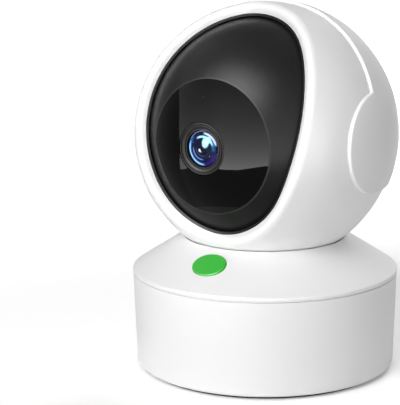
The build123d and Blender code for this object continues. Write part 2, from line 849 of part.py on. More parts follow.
with BuildPart() as power_socket:
    with BuildSketch(wall_plane(0, port_depth_radius, port_height)):
        RectangleRounded(socket_width, socket_tall, socket_tall / 2 - socket_end_flat)
    extrude(amount=-socket_length)
    with BuildSketch(wall_plane(0, port_depth_radius, port_height)):
        hollow_tall = socket_tall - 2 * socket_wall
        RectangleRounded(socket_width - 2 * socket_wall, hollow_tall, hollow_tall / 2 - socket_end_flat)
    extrude(amount=socket_back - socket_length, mode=Mode.SUBTRACT)
    with BuildSketch(wall_plane(0, port_depth_radius, port_height)):
        Rectangle(tongue_width, tongue_thickness)
    extrude(amount=-socket_length + tongue_inset)
    with BuildSketch(wall_plane(0, port_depth_radius - socket_length, port_height)):
        Rectangle(socket_width, 2 * (base_board_height - port_height))
    extrude(amount=2 * socket_wall)

with BuildPart() as memory_card_socket:
    card_front = wall_radius(card_height) - base_wall - card_inset
    with BuildSketch(wall_plane(card_azimuth, card_front, card_height)):
        Rectangle(card_width, card_tall)
    extrude(amount=-card_length)
    with BuildSketch(wall_plane(card_azimuth, card_front, card_height)):
        Rectangle(card_slot_width, card_slot_tall)
    extrude(amount=socket_back - card_length, mode=Mode.SUBTRACT)

reset_wall_out = wall_radius(port_height)
reset_flange_face = reset_wall_out - base_wall - 2 * call_rest_gap
reset_stem_end = reset_flange_face - reset_flange - reset_stem
with BuildPart() as reset_button:
    with BuildSketch(wall_plane(reset_azimuth, reset_wall_out + reset_proud, port_height)):
        Circle(reset_radius)
    extrude(amount=reset_stem_end - reset_wall_out - reset_proud)
    fillet(reset_button.edges().filter_by(GeomType.CIRCLE).sort_by_distance(
        wall_plane(reset_azimuth, reset_wall_out + reset_proud, port_height).origin)[0], call_edge_round)
    with BuildSketch(wall_plane(reset_azimuth, reset_flange_face, port_height)):
        Circle(reset_flange_radius)
    extrude(amount=-reset_flange)

switch_front = reset_stem_end - reset_travel - fit_gap
with BuildPart() as reset_switch:
    with BuildSketch(wall_plane(reset_azimuth, switch_front, port_height)):
        Circle(reset_radius)
    extrude(amount=-reset_plunger)
    with BuildSketch(wall_plane(reset_azimuth, switch_front - reset_plunger, port_height)):
        Rectangle(reset_switch_width, 2 * (base_board_height - port_height))
    extrude(amount=-reset_switch_length)

with BuildPart() as speaker:
    with BuildSketch(Plane.XZ.offset(-speaker_face)):
        with Locations((0, speaker_height)):
            RectangleRounded(speaker_width, speaker_tall, speaker_corner)
    extrude(amount=speaker_depth)
    with BuildSketch(Plane.XZ.offset(-speaker_face)):
        with Locations((0, speaker_height)):
            inside = (speaker_width - 2 * gasket_width, speaker_tall - 2 * gasket_width)
            RectangleRounded(*inside, gasket_corner)
    extrude(amount=speaker_hollow, mode=Mode.SUBTRACT)

with BuildPart() as speaker_gasket:
    with BuildSketch(Plane.XZ.offset(-speaker_face)):
        with Locations((0, speaker_height)):
            RectangleRounded(speaker_width, speaker_tall, speaker_corner)
            RectangleRounded(*inside, gasket_corner, mode=Mode.SUBTRACT)
    extrude(amount=-2 * base_wall)
    with BuildSketch(Plane.XY):
        Circle(wall_radius(speaker_bottom) - base_wall)
    extrude(amount=frame_height + speaker_tall, mode=Mode.INTERSECT)

# Call button with its switch and board under the slope
flange_top = -base_wall - call_rest_gap
stem_top = flange_top - call_flange
with BuildPart() as call_button:
    with BuildSketch(call_plane.offset(call_proud)):
        call_oval(0)
    extrude(amount=flange_top - call_proud)
    top_edge = call_button.edges().filter_by(GeomType.ELLIPSE).sort_by_distance(
        call_plane.offset(call_proud).origin)[0]
    fillet(top_edge, call_edge_round)
    with BuildSketch(call_plane.offset(flange_top)):
        call_oval(call_flange_lip)
    extrude(amount=-call_flange)
    with BuildSketch(call_plane.offset(stem_top)):
        Circle(call_stem_radius)
    extrude(amount=-call_stem)

with BuildPart() as call_board:
    with BuildSketch(call_plane.offset(-call_board_top)):
        RectangleRounded(call_board_width, call_board_length, call_board_corner)
        with GridLocations(call_post_spacing, 0, 2, 1):
            Circle(small_screw_radius + fit_gap, mode=Mode.SUBTRACT)
    extrude(amount=-call_board_thickness)

with BuildPart() as call_switch:
    with BuildSketch(call_plane.offset(-call_board_top)):
        Rectangle(switch_size, switch_size)
    extrude(amount=switch_height - switch_cap_height)
    with BuildSketch(call_plane.offset(-call_board_top)):
        Circle(switch_cap_radius)
    extrude(amount=switch_height)

call_screw_seat = -call_board_top - call_board_thickness
with BuildPart() as call_board_screws:
    with BuildSketch(call_plane.offset(call_screw_seat)):
        with GridLocations(call_post_spacing, 0, 2, 1):
            Circle(small_head_radius)
    extrude(amount=-small_head_height)
    with BuildSketch(call_plane.offset(call_screw_seat)):
        with GridLocations(call_post_spacing, 0, 2, 1):
            Circle(small_screw_radius)
    extrude(amount=call_board_thickness + call_board_top - 2 * base_wall)

# Turntable: hub, pan gear and neck
hub_bottom = bearing_bottom - hub_below
clip_bottom = bearing_bottom - fit_gap - clip_thickness
with BuildPart() as turntable:
    with BuildSketch(Plane.XY.offset(hub_bottom)):
        Circle(hub_radius)
    extrude(amount=gear_bottom - hub_bottom)
    with BuildSketch(Plane.XY.offset(gear_bottom)):
        add(gear_sketch(pan_gear_teeth))
    extrude(amount=gear_thickness)
    with BuildSketch(Plane.XY.offset(gear_top)):
        Circle(neck_radius)
    extrude(amount=turntable_top - gear_top)
    with BuildSketch(Plane.XY.offset(hub_bottom)):
        Circle(hub_bore)
    extrude(amount=turntable_top - hub_bottom, mode=Mode.SUBTRACT)
    with BuildSketch(Plane.XY.offset(clip_bottom)):
        Circle(hub_radius + clip_groove)
        Circle(hub_radius - clip_groove, mode=Mode.SUBTRACT)
    extrude(amount=clip_thickness, mode=Mode.SUBTRACT)
    with BuildSketch(Plane.XY.offset(gear_bottom)):
        with PolarLocations(turntable_screw_ring, 3, start_angle=30):
            Circle(screw_head_radius)
    extrude(amount=turntable_top - 2 * base_wall - gear_bottom, mode=Mode.SUBTRACT)
    with BuildSketch(Plane.XY.offset(gear_bottom)):
        with PolarLocations(turntable_screw_ring, 3, start_angle=30):
            Circle(screw_radius + screw_hole_gap)
    extrude(amount=turntable_top - gear_bottom, mode=Mode.SUBTRACT)
    add(ribbon_way.part, mode=Mode.SUBTRACT)

with BuildPart() as hub_clip:
    with BuildSketch(Plane.XY.offset(clip_bottom)):
        Circle(clip_radius)
        Circle(hub_radius - clip_groove, mode=Mode.SUBTRACT)
        with Locations((0, clip_radius)):
            Rectangle(hub_radius, 2 * (clip_radius - hub_radius) + hub_radius, mode=Mode.SUBTRACT)
    extrude(amount=clip_thickness)

turntable_seat = turntable_top - 2 * base_wall
with BuildPart() as turntable_screws:
    with BuildSketch(Plane.XY.offset(turntable_seat)):
        with PolarLocations(turntable_screw_ring, 3, start_angle=30):
            Circle(screw_head_radius - fit_gap)
    extrude(amount=-screw_head_height)
    with BuildSketch(Plane.XY.offset(turntable_seat)):
        with PolarLocations(turntable_screw_ring, 3, start_angle=30):
            Circle(screw_radius)
    extrude(amount=2 * base_wall + floor_pad - screw_tip_gap)

# Front shell of the head: bowl, floor, lip of the opening and the posts of the tilt bracket
foot_top = -bracket_foot_drop
foot_bottom = foot_top - bracket_thickness
bracket_side = tilt_gear_side - bracket_gap - bracket_thickness
foot_x = bracket_side + bracket_thickness - bracket_foot_width / 2
foot_y = (bracket_foot_front + bracket_foot_back) / 2
post_places = [(foot_x - bracket_post_spacing / 2, foot_y), (foot_x + bracket_post_spacing / 2, foot_y)]
post_depth = on_sphere(head_inner + head_wall / 2, foot_y - bracket_post_radius)
with BuildPart() as head_front_shell:
    with Locations(head_point):
        Sphere(head_radius)
        Sphere(head_inner, mode=Mode.SUBTRACT)
    with BuildSketch(Plane.XY.offset(turntable_top)):
        Circle(floor_pad_radius)
    extrude(amount=floor_pad)
    with BuildSketch(Plane.XY.offset(head_z + foot_bottom)):
        with Locations(*post_places):
            Circle(bracket_post_radius)
    extrude(amount=-post_depth - foot_bottom)
    with Locations(head_point):
        Sphere(head_radius, mode=Mode.INTERSECT)
    add(hood_cut, mode=Mode.SUBTRACT)
    add(shell_part(head_inner + fit_gap, opening_radius, lip_region))
    add(opening, mode=Mode.SUBTRACT)
    split(bisect_by=Plane.XY.offset(turntable_top), keep=Keep.TOP)
    with BuildSketch(Plane.XY.offset(turntable_top)):
        Circle(hub_bore + floor_hole_gap)
    extrude(amount=floor_pad, mode=Mode.SUBTRACT)
    with BuildSketch(Plane.XY.offset(turntable_top)):
        with PolarLocations(turntable_screw_ring, 3, start_angle=30):
            Circle(screw_radius)
    extrude(amount=floor_pad, mode=Mode.SUBTRACT)
    add(ribbon_way.part, mode=Mode.SUBTRACT)
    with BuildSketch(Plane.XY.offset(head_z + foot_bottom)):
        with Locations(*post_places):
            Circle(small_screw_radius)
    extrude(amount=-2 * base_wall, mode=Mode.SUBTRACT)
    fillet(head_front_shell.edges().filter_by(on_opening_rim), opening_round)

# Black trim behind the lip of the opening
with BuildPart() as opening_trim:
    add(shell_part(opening_radius, trim_inner, trim_region))
    add(trim_hole, mode=Mode.SUBTRACT)

# Rear hood with its ears, the lip that lies behind the front shell, and the seats of the tilt pins
lip_outer = head_inner - lip_play
ear_boss_inner = eye_radius + ear_boss_gap
with BuildPart() as rear_hood:
    add(shell_part(lip_outer, lip_outer - lip_wall, hood_lip_region))
    add(shell_part(hood_inner + fit_gap, lip_outer - lip_wall, hood_space))
    add(hood_lip_hole, mode=Mode.SUBTRACT)
    add(shell_part(hood_outer, hood_inner, hood_space))
    fillet(rear_hood.edges().filter_by(on_hood_rim), seam_edge_round)
    for side in (-1, 1):
        with BuildSketch(side_plane(side * ear_boss_inner)):
            Circle(ear_boss_radius)
        extrude(amount=side * (hood_inner + fit_gap - ear_boss_inner))
        with BuildSketch(side_plane(side * ear_boss_inner)):
            Circle(pin_radius)
        extrude(amount=side * (pin_outer - ear_boss_inner), mode=Mode.SUBTRACT)

with BuildPart() as tilt_pins:
    for side in (-1, 1):
        with BuildSketch(side_plane(side * pin_inner)):
            Circle(pin_radius)
        extrude(amount=side * (pin_outer - pin_inner))

# Tilt bracket, motor, shaft and pinion
tilt_motor_place = (tilt_motor_y, tilt_motor_z)
bracket_face = bracket_side + bracket_thickness
motor_screw_inset = bracket_thickness / 2
with BuildPart() as tilt_bracket:
    with BuildSketch(side_plane(bracket_side)):
        with Locations(tilt_motor_place):
            Circle(tilt_motor_radius)
        outline(
            (tilt_motor_y - tilt_motor_radius / 2, tilt_motor_z),
            (tilt_motor_y + tilt_motor_radius / 2, tilt_motor_z),
            (bracket_foot_back, foot_bottom),
            (bracket_foot_front, foot_bottom),
        )
    extrude(amount=bracket_thickness)
    with BuildSketch(Plane.XY.offset(head_z + foot_bottom)):
        with Locations((foot_x, foot_y)):
            Rectangle(bracket_foot_width, bracket_foot_back - bracket_foot_front)
        with Locations(*post_places):
            Circle(small_screw_radius + screw_hole_gap, mode=Mode.SUBTRACT)
    extrude(amount=bracket_thickness)
    with BuildSketch(side_plane(bracket_side)):
        with Locations(tilt_motor_place):
            Circle(2 * tilt_shaft_radius)
            with GridLocations(0, tilt_motor_screw_spacing, 1, 2):
                Circle(small_screw_radius)
    extrude(amount=bracket_thickness, mode=Mode.SUBTRACT)
    with BuildSketch(side_plane(bracket_face - motor_screw_inset)):
        with Locations(tilt_motor_place):
            with GridLocations(0, tilt_motor_screw_spacing, 1, 2):
                Circle(small_head_radius)
    extrude(amount=motor_screw_inset, mode=Mode.SUBTRACT)

with BuildPart() as tilt_bracket_screws:
    with BuildSketch(Plane.XY.offset(head_z + foot_top)):
        with Locations(*post_places):
            Circle(small_head_radius)
    extrude(amount=small_head_height)
    with BuildSketch(Plane.XY.offset(head_z + foot_top)):
        with Locations(*post_places):
            Circle(small_screw_radius)
    extrude(amount=-bracket_thickness - base_wall)

with BuildPart() as tilt_motor:
    with BuildSketch(side_plane(bracket_side)):
        with Locations(tilt_motor_place):
            Circle(tilt_motor_radius)
    extrude(amount=-tilt_motor_length)
    with BuildSketch(side_plane(bracket_side)):
        with Locations(tilt_motor_place):
            Circle(tilt_shaft_radius + running_gap)
            with GridLocations(0, tilt_motor_screw_spacing, 1, 2):
                Circle(small_screw_radius)
    extrude(amount=-motor_bush_depth, mode=Mode.SUBTRACT)

with BuildPart() as tilt_motor_screws:
    with BuildSketch(side_plane(bracket_face - motor_screw_inset)):
        with Locations(tilt_motor_place):
            with GridLocations(0, tilt_motor_screw_spacing, 1, 2):
                Circle(small_head_radius)
    extrude(amount=motor_screw_inset)
    with BuildSketch(side_plane(bracket_face - motor_screw_inset)):
        with Locations(tilt_motor_place):
            with GridLocations(0, tilt_motor_screw_spacing, 1, 2):
                Circle(small_screw_radius)
    extrude(amount=-motor_screw_inset - base_wall)

tilt_pinion_side = tilt_gear_side - pinion_overlap
tilt_pinion_end = tilt_gear_side + tilt_gear_thickness + pinion_overlap
with BuildPart() as tilt_motor_shaft:
    with BuildSketch(side_plane(bracket_side - motor_bush_depth + fit_gap)):
        with Locations(tilt_motor_place):
            Circle(tilt_shaft_radius)
    extrude(amount=tilt_pinion_end + fit_gap - bracket_side + motor_bush_depth)

pinion_turn = 180 - tilt_middle + 180 / pinion_teeth
with BuildPart() as tilt_pinion:
    with BuildSketch(side_plane(tilt_pinion_side)):
        with Locations(tilt_motor_place):
            add(gear_sketch(pinion_teeth, pinion_turn))
            Circle(tilt_shaft_radius, mode=Mode.SUBTRACT)
    extrude(amount=tilt_pinion_end - tilt_pinion_side)

# Ribbon cable from the hub round the back of the eye, and the antenna in the hood
with BuildPart() as head_ribbon:
    with BuildSketch(Plane.XZ):
        with Locations((ribbon_offset, head_z - ribbon_line)):
            Rectangle(ribbon_width, ribbon_thickness)
    revolve(axis=tilt_axis, revolution_arc=ribbon_turn - ribbon_end_gap)
    with BuildSketch(Plane.XY.offset(hub_bottom)):
        with Locations((ribbon_offset, 0)):
            Rectangle(ribbon_width, ribbon_thickness)
    extrude(amount=head_z - ribbon_line + ribbon_thickness / 2 - hub_bottom)

with BuildPart() as wifi_antenna:
    with Locations(head_point):
        Sphere(hood_inner)
        Sphere(hood_inner - antenna_thickness, mode=Mode.SUBTRACT)
    with BuildSketch(Plane.XZ):
        with Locations((0, head_z + (antenna_low + antenna_high) / 2)):
            Rectangle(antenna_width, antenna_high - antenna_low)
    extrude(amount=-head_radius, mode=Mode.INTERSECT)

# Eye: black ball shell with the window's ledge, screw bosses and pivot bosses
ring_radius = window_radius + window_ring_width
ledge_front = on_sphere(eye_inner, ring_radius)
ledge_back = ledge_front - window_ledge_thickness
glass_inner = eye_radius - window_thickness
glass_back = on_sphere(glass_inner, window_radius)
bushing_radius = pin_radius + running_gap + bushing_wall
cover_front = back_cover_thickness - eye_cut
boss_hole = small_head_height + eye_screw_reach + screw_tip_gap - back_cover_thickness
boss_radius = small_head_radius + boss_wall
boss_side = (on_sphere(eye_inner, eye_cut) - boss_inset) / sqrt(2)
boss_places = [(x, y) for x in (-boss_side, boss_side) for y in (-boss_side, boss_side)]
with BuildPart() as eye_shell:
    with Locations(head_point):
        Sphere(eye_radius)
        Sphere(eye_inner, mode=Mode.SUBTRACT)
    with BuildSketch(front_plane(ledge_back)):
        Circle(on_sphere(eye_inner, ledge_back) + fit_gap)
    extrude(amount=window_ledge_thickness)
    with BuildSketch(front_plane(cover_front)):
        with Locations(*boss_places):
            Circle(boss_radius)
    extrude(amount=on_sphere(eye_inner, boss_side * sqrt(2)) - cover_front)
    for side in (-1, 1):
        with BuildSketch(side_plane(side * bushing_inner)):
            Circle(bushing_radius + pivot_boss_wall)
        extrude(amount=side * (eye_radius - bushing_inner))
    with Locations(head_point):
        Sphere(eye_radius, mode=Mode.INTERSECT)
    with BuildSketch(front_plane(ledge_front)):
        Circle(ring_radius)
    extrude(amount=eye_radius, mode=Mode.SUBTRACT)
    with BuildSketch(front_plane(ledge_back)):
        Circle(window_radius - window_ledge_width)
    extrude(amount=window_ledge_thickness, mode=Mode.SUBTRACT)
    split(bisect_by=front_plane(-eye_cut), keep=Keep.TOP)
    for side in (-1, 1):
        with BuildSketch(side_plane(side * bushing_inner)):
            Circle(bushing_radius)
        extrude(amount=side * head_radius, mode=Mode.SUBTRACT)
    with BuildSketch(front_plane(cover_front)):
        with Locations(*boss_places):
            Circle(small_screw_radius)
    extrude(amount=boss_hole, mode=Mode.SUBTRACT)

with BuildPart() as tilt_bushings:
    bushing_end = on_sphere(eye_radius, bushing_radius)
    for side in (-1, 1):
        with BuildSketch(side_plane(side * bushing_inner)):
            Circle(bushing_radius)
            Circle(pin_radius + running_gap, mode=Mode.SUBTRACT)
        extrude(amount=side * (bushing_end - bushing_inner))

with BuildPart() as window_ring:
    with BuildSketch(lens_section):
        outline(
            (ring_radius, ledge_front),
            (ring_radius, on_sphere(eye_radius, ring_radius)),
            (window_radius, on_sphere(eye_radius, window_radius)),
            (window_radius, glass_back),
            (window_radius - window_ring_foot, glass_back),
            (window_radius - window_ring_foot, ledge_front),
        )
    revolve(axis=lens_axis)

lens_hole = lens_ring_radius + fit_gap
with BuildPart() as window_glass:
    with Locations(head_point):
        Sphere(eye_radius)
        Sphere(glass_inner, mode=Mode.SUBTRACT)
    with BuildSketch(front_plane(0)):
        Circle(window_radius)
        Circle(lens_hole, mode=Mode.SUBTRACT)
    extrude(amount=head_radius, mode=Mode.INTERSECT)

# Lens barrel with its front lens, retainer and inner elements
board_front = camera_board_forward + board_thickness
holder_front = board_front + holder_height
barrel_back = board_front + 2 * sensor_thickness
lens_front = on_sphere(eye_radius, lens_ring_radius)
apex = lens_front - front_lens_sink
rim_drop = front_lens_curve - on_sphere(front_lens_curve, front_lens_radius)
lens_back = apex - front_lens_thickness
mouth_floor = lens_front - lens_mouth_depth
with BuildPart() as lens_barrel:
    with BuildSketch(lens_section):
        outline(
            (lens_mouth_radius + lens_lip_width, lens_front),
            (lens_ring_radius, lens_front),
            (lens_ring_radius, lens_front - lens_ring_depth),
            (lens_body_radius, lens_front - lens_ring_depth),
            (lens_body_radius, holder_front),
            (lens_thread_radius, holder_front),
            (lens_thread_radius, barrel_back),
            (lens_bore_radius, barrel_back),
            (lens_bore_radius, lens_back),
            (front_lens_radius, lens_back),
            (front_lens_radius, mouth_floor),
            (lens_mouth_radius, mouth_floor),
            (lens_mouth_radius, lens_front - lens_lip_depth),
            (lens_mouth_radius + lens_lip_width, lens_front - lens_lip_depth),
        )
    revolve(axis=lens_axis)

with BuildPart() as lens_retainer:
    with BuildSketch(lens_section):
        outline(
            (front_lens_radius, mouth_floor),
            (lens_mouth_radius, mouth_floor),
            (lens_mouth_radius, mouth_floor + retainer_thickness + retainer_edge),
            (lens_mouth_radius - retainer_edge_width, mouth_floor + retainer_thickness + retainer_edge),
            (front_lens_radius, mouth_floor + retainer_thickness),
        )
    revolve(axis=lens_axis)

with BuildPart() as front_lens:
    with BuildSketch(lens_section):
        with BuildLine():
            bow = front_lens_radius / 2
            bow_drop = front_lens_curve - on_sphere(front_lens_curve, bow)
            rim = (front_lens_radius, apex - rim_drop)
            ThreePointArc((0, apex), (bow, apex - bow_drop), rim)
            Polyline(rim, (front_lens_radius, lens_back), (0, lens_back), (0, apex))
        make_face()
    revolve(axis=lens_axis)

with BuildPart() as lens_elements:
    for place in (2, 5):
        with BuildSketch(front_plane(barrel_back + place * element_thickness)):
            Circle(lens_bore_radius)
        extrude(amount=element_thickness)

with BuildPart() as lens_holder:
    with BuildSketch(front_plane(board_front)):
        Rectangle(holder_size, holder_size)
        Circle(lens_thread_radius, mode=Mode.SUBTRACT)
    extrude(amount=holder_height)

with BuildPart() as image_sensor:
    with BuildSketch(front_plane(board_front)):
        Rectangle(sensor_size, sensor_size)
    extrude(amount=sensor_thickness)

camera_board_height = 2 * (boss_side - boss_radius - camera_board_gap)
board_post_x = camera_board_width / 2 - camera_post_inset
board_post_y = camera_board_height / 2 - camera_post_inset
with BuildPart() as camera_board:
    with BuildSketch(front_plane(camera_board_forward)):
        RectangleRounded(camera_board_width, camera_board_height, camera_board_corner)
        with GridLocations(2 * board_post_x, 2 * board_post_y, 2, 2):
            Circle(small_screw_radius + fit_gap, mode=Mode.SUBTRACT)
    extrude(amount=board_thickness)
    with BuildSketch(front_plane(camera_board_forward)):
        Rectangle(camera_chip, camera_chip)
        with Locations((0, camera_board_height / 2 - connector_inset)):
            Rectangle(connector_width, connector_depth)
    extrude(amount=-camera_chip_height)

with BuildPart() as camera_board_screws:
    with BuildSketch(front_plane(board_front)):
        with GridLocations(2 * board_post_x, 2 * board_post_y, 2, 2):
            Circle(small_head_radius)
    extrude(amount=small_head_height)
    with BuildSketch(front_plane(board_front)):
        with GridLocations(2 * board_post_x, 2 * board_post_y, 2, 2):
            Circle(small_screw_radius)
    extrude(amount=-board_thickness - board_screw_bite)

# Infrared board behind the window
with BuildPart() as ir_board:
    with BuildSketch(front_plane(ledge_back - board_thickness)):
        Circle(ir_board_radius)
        Circle(ir_board_hole, mode=Mode.SUBTRACT)
    extrude(amount=board_thickness)

with BuildPart() as ir_leds:
    with BuildSketch(front_plane(ledge_back)):
        with PolarLocations(led_ring, led_count):
            Circle(led_radius)
    extrude(amount=led_height)

with BuildPart() as light_sensor:
    with BuildSketch(front_plane(ledge_back)):
        with Locations((light_sensor_side, light_sensor_up)):
            Circle(light_sensor_radius)
    extrude(amount=on_sphere(glass_inner, light_sensor_up + 2 * light_sensor_radius) - ledge_back)

# Back cover of the eye and the tilt gear on it
gear_flange_width = tilt_gear_thickness + gear_flange_reach
gear_screw_x = tilt_gear_side + tilt_gear_thickness + gear_flange_reach / 2
gear_screw_places = [(gear_screw_x, side * gear_screw_spacing / 2) for side in (-1, 1)]
with BuildPart() as eye_back_cover:
    with BuildSketch(front_plane(-eye_cut)):
        Circle(on_sphere(eye_inner, eye_cut) - fit_gap)
    extrude(amount=back_cover_thickness)
    with BuildSketch(front_plane(cover_front)):
        with GridLocations(2 * board_post_x, 2 * board_post_y, 2, 2):
            Circle(standoff_radius)
    extrude(amount=camera_board_forward - cover_front)
    with BuildSketch(front_plane(camera_board_forward)):
        with GridLocations(2 * board_post_x, 2 * board_post_y, 2, 2):
            Circle(small_screw_radius)
    extrude(amount=-board_screw_bite - screw_tip_gap, mode=Mode.SUBTRACT)
    with BuildSketch(front_plane(-eye_cut)):
        with Locations(*boss_places):
            Circle(small_screw_radius + screw_hole_gap)
        with Locations(*gear_screw_places):
            Circle(small_screw_radius)
        with Locations((-board_post_x, 0)):
            Circle(standoff_radius)
    extrude(amount=back_cover_thickness, mode=Mode.SUBTRACT)
    with BuildSketch(front_plane(-eye_cut)):
        with Locations(*boss_places):
            Circle(small_head_radius + fit_gap)
    extrude(amount=small_head_height, mode=Mode.SUBTRACT)

with BuildPart() as eye_screws:
    with BuildSketch(front_plane(-eye_cut)):
        with Locations(*boss_places):
            Circle(small_head_radius)
    extrude(amount=small_head_height)
    with BuildSketch(front_plane(small_head_height - eye_cut)):
        with Locations(*boss_places):
            Circle(small_screw_radius)
    extrude(amount=eye_screw_reach)

sector_side = eye_cut * tan(radians(tilt_sector))
sector_far = tilt_centres
with BuildPart() as tilt_gear:
    with BuildSketch(side_plane(tilt_gear_side)):
        add(gear_sketch(tilt_gear_teeth, -tilt_middle))
        with BuildLine() as wedge:
            Polyline(
                (eye_cut, sector_side),
                (sector_far, sector_far * tan(radians(tilt_sector))),
                (sector_far, -sector_far * tan(radians(tilt_sector))),
                (eye_cut, -sector_side),
                close=True,
            )
        make_face(wedge.edges(), mode=Mode.INTERSECT)
    extrude(amount=tilt_gear_thickness)
    with BuildSketch(front_plane(-eye_cut)):
        with Locations((tilt_gear_side + gear_flange_width / 2, 0)):
            Rectangle(gear_flange_width, gear_flange_tall)
        with Locations(*gear_screw_places):
            Circle(small_screw_radius + fit_gap, mode=Mode.SUBTRACT)
    extrude(amount=-bracket_thickness)

with BuildPart() as tilt_gear_screws:
    with BuildSketch(front_plane(-eye_cut - bracket_thickness)):
        with Locations(*gear_screw_places):
            Circle(small_head_radius)
    extrude(amount=-small_head_height)
    with BuildSketch(front_plane(-eye_cut - bracket_thickness)):
        with Locations(*gear_screw_places):
            Circle(small_screw_radius)
    extrude(amount=bracket_thickness + back_cover_thickness)

pieces = {
    "base_housing": base_housing,
    "base_top_cover": base_top_cover,
    "bottom_plate": bottom_plate,
    "rubber_foot": rubber_foot,
    "tripod_insert": tripod_insert,
    "ballast_plate": ballast_plate,
    "case_screws": case_screws,
    "pan_frame": pan_frame,
    "pan_bearing": pan_bearing,
    "pan_motor": pan_motor,
    "pan_motor_screws": pan_motor_screws,
    "pan_motor_shaft": pan_motor_shaft,
    "pan_pinion": pan_pinion,
    "base_board": base_board,
    "base_board_screws": base_board_screws,
    "power_socket": power_socket,
    "memory_card_socket": memory_card_socket,
    "reset_button": reset_button,
    "reset_switch": reset_switch,
    "speaker": speaker,
    "speaker_gasket": speaker_gasket,
    "call_button": call_button,
    "call_switch": call_switch,
    "call_board": call_board,
    "call_board_screws": call_board_screws,
    "turntable": turntable,
    "hub_clip": hub_clip,
    "turntable_screws": turntable_screws,
    "head_front_shell": head_front_shell,
    "opening_trim": opening_trim,
    "rear_hood": rear_hood,
    "tilt_pins": tilt_pins,
    "tilt_bracket": tilt_bracket,
    "tilt_bracket_screws": tilt_bracket_screws,
    "tilt_motor": tilt_motor,
    "tilt_motor_screws": tilt_motor_screws,
    "tilt_motor_shaft": tilt_motor_shaft,
    "tilt_pinion": tilt_pinion,
    "head_ribbon": head_ribbon,
    "wifi_antenna": wifi_antenna,
    "eye_shell": eye_shell,
    "tilt_bushings": tilt_bushings,
    "window_ring": window_ring,
    "window_glass": window_glass,
    "lens_barrel": lens_barrel,
    "lens_retainer": lens_retainer,
    "front_lens": front_lens,
    "lens_elements": lens_elements,
    "lens_holder": lens_holder,
    "image_sensor": image_sensor,
    "camera_board": camera_board,
    "camera_board_screws": camera_board_screws,
    "ir_board": ir_board,
    "ir_leds": ir_leds,
    "light_sensor": light_sensor,
    "eye_back_cover": eye_back_cover,
    "eye_screws": eye_screws,
    "tilt_gear": tilt_gear,
    "tilt_gear_screws": tilt_gear_screws,
}

os.makedirs("parts", exist_ok=True)
for name, piece in pieces.items():
    piece.part.label = name
    export_step(piece.part, f"parts/{name}.step")
    print(name, round(piece.part.volume, 1))
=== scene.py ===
import math

import bmesh
import bpy
from mathutils import Matrix, Vector


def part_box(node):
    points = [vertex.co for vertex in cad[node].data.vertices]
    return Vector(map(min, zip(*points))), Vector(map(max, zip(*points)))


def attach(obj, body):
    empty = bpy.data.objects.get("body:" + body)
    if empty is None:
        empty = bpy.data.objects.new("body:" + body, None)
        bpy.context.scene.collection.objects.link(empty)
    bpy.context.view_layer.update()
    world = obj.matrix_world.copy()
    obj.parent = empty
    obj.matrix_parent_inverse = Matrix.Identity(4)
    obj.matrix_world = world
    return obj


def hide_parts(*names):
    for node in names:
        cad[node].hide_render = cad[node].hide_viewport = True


# A pan and tilt camera for the home: white shells, a black eye with a dark window, a coated lens

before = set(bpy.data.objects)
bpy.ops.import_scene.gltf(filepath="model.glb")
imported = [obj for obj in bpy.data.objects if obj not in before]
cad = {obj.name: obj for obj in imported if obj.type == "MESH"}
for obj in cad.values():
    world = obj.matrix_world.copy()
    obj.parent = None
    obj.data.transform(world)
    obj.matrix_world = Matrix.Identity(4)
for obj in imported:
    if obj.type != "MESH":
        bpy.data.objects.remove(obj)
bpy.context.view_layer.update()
mm = 0.001                      # a millimetre in metres
headCentre = Vector((0.0, 0.0, sum(corner[2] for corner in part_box("tilt_pins")) / 2))
print("frame loaded:", len(cad), "nodes, head centre", round(headCentre.z / mm, 3), "mm up")


# Shader helpers: an expression on a Wire adds Math nodes

class Wire:
    def __init__(self, shader, socket):
        self.shader = shader
        self.socket = socket

    def other(self, name):
        # another output of the same node
        return Wire(self.shader, self.socket.node.outputs[name])

    def maths(self, operation, *terms):
        return self.shader.add("ShaderNodeMath", {"operation": operation}, dict(enumerate(terms)))

    def __add__(self, term):
        return self.maths("ADD", self, term)

    def __radd__(self, term):
        return self.maths("ADD", term, self)

    def __sub__(self, term):
        return self.maths("SUBTRACT", self, term)

    def __rsub__(self, term):
        return self.maths("SUBTRACT", term, self)

    def __mul__(self, term):
        return self.maths("MULTIPLY", self, term)

    def __rmul__(self, term):
        return self.maths("MULTIPLY", term, self)

    def __truediv__(self, term):
        return self.maths("DIVIDE", self, term)

    def __pow__(self, term):
        return self.maths("POWER", self, term)

    def __lt__(self, term):
        return self.maths("LESS_THAN", self, term)

    def sine(self):
        return self.maths("SINE", self)

    def size(self):
        return self.maths("ABSOLUTE", self)

    def exponent(self):
        return self.maths("EXPONENT", self)

    def least(self, term):
        return self.maths("MINIMUM", self, term)

    def most(self, term):
        return self.maths("MAXIMUM", self, term)

    def clipped(self):
        return self.most(0.0).least(1.0)


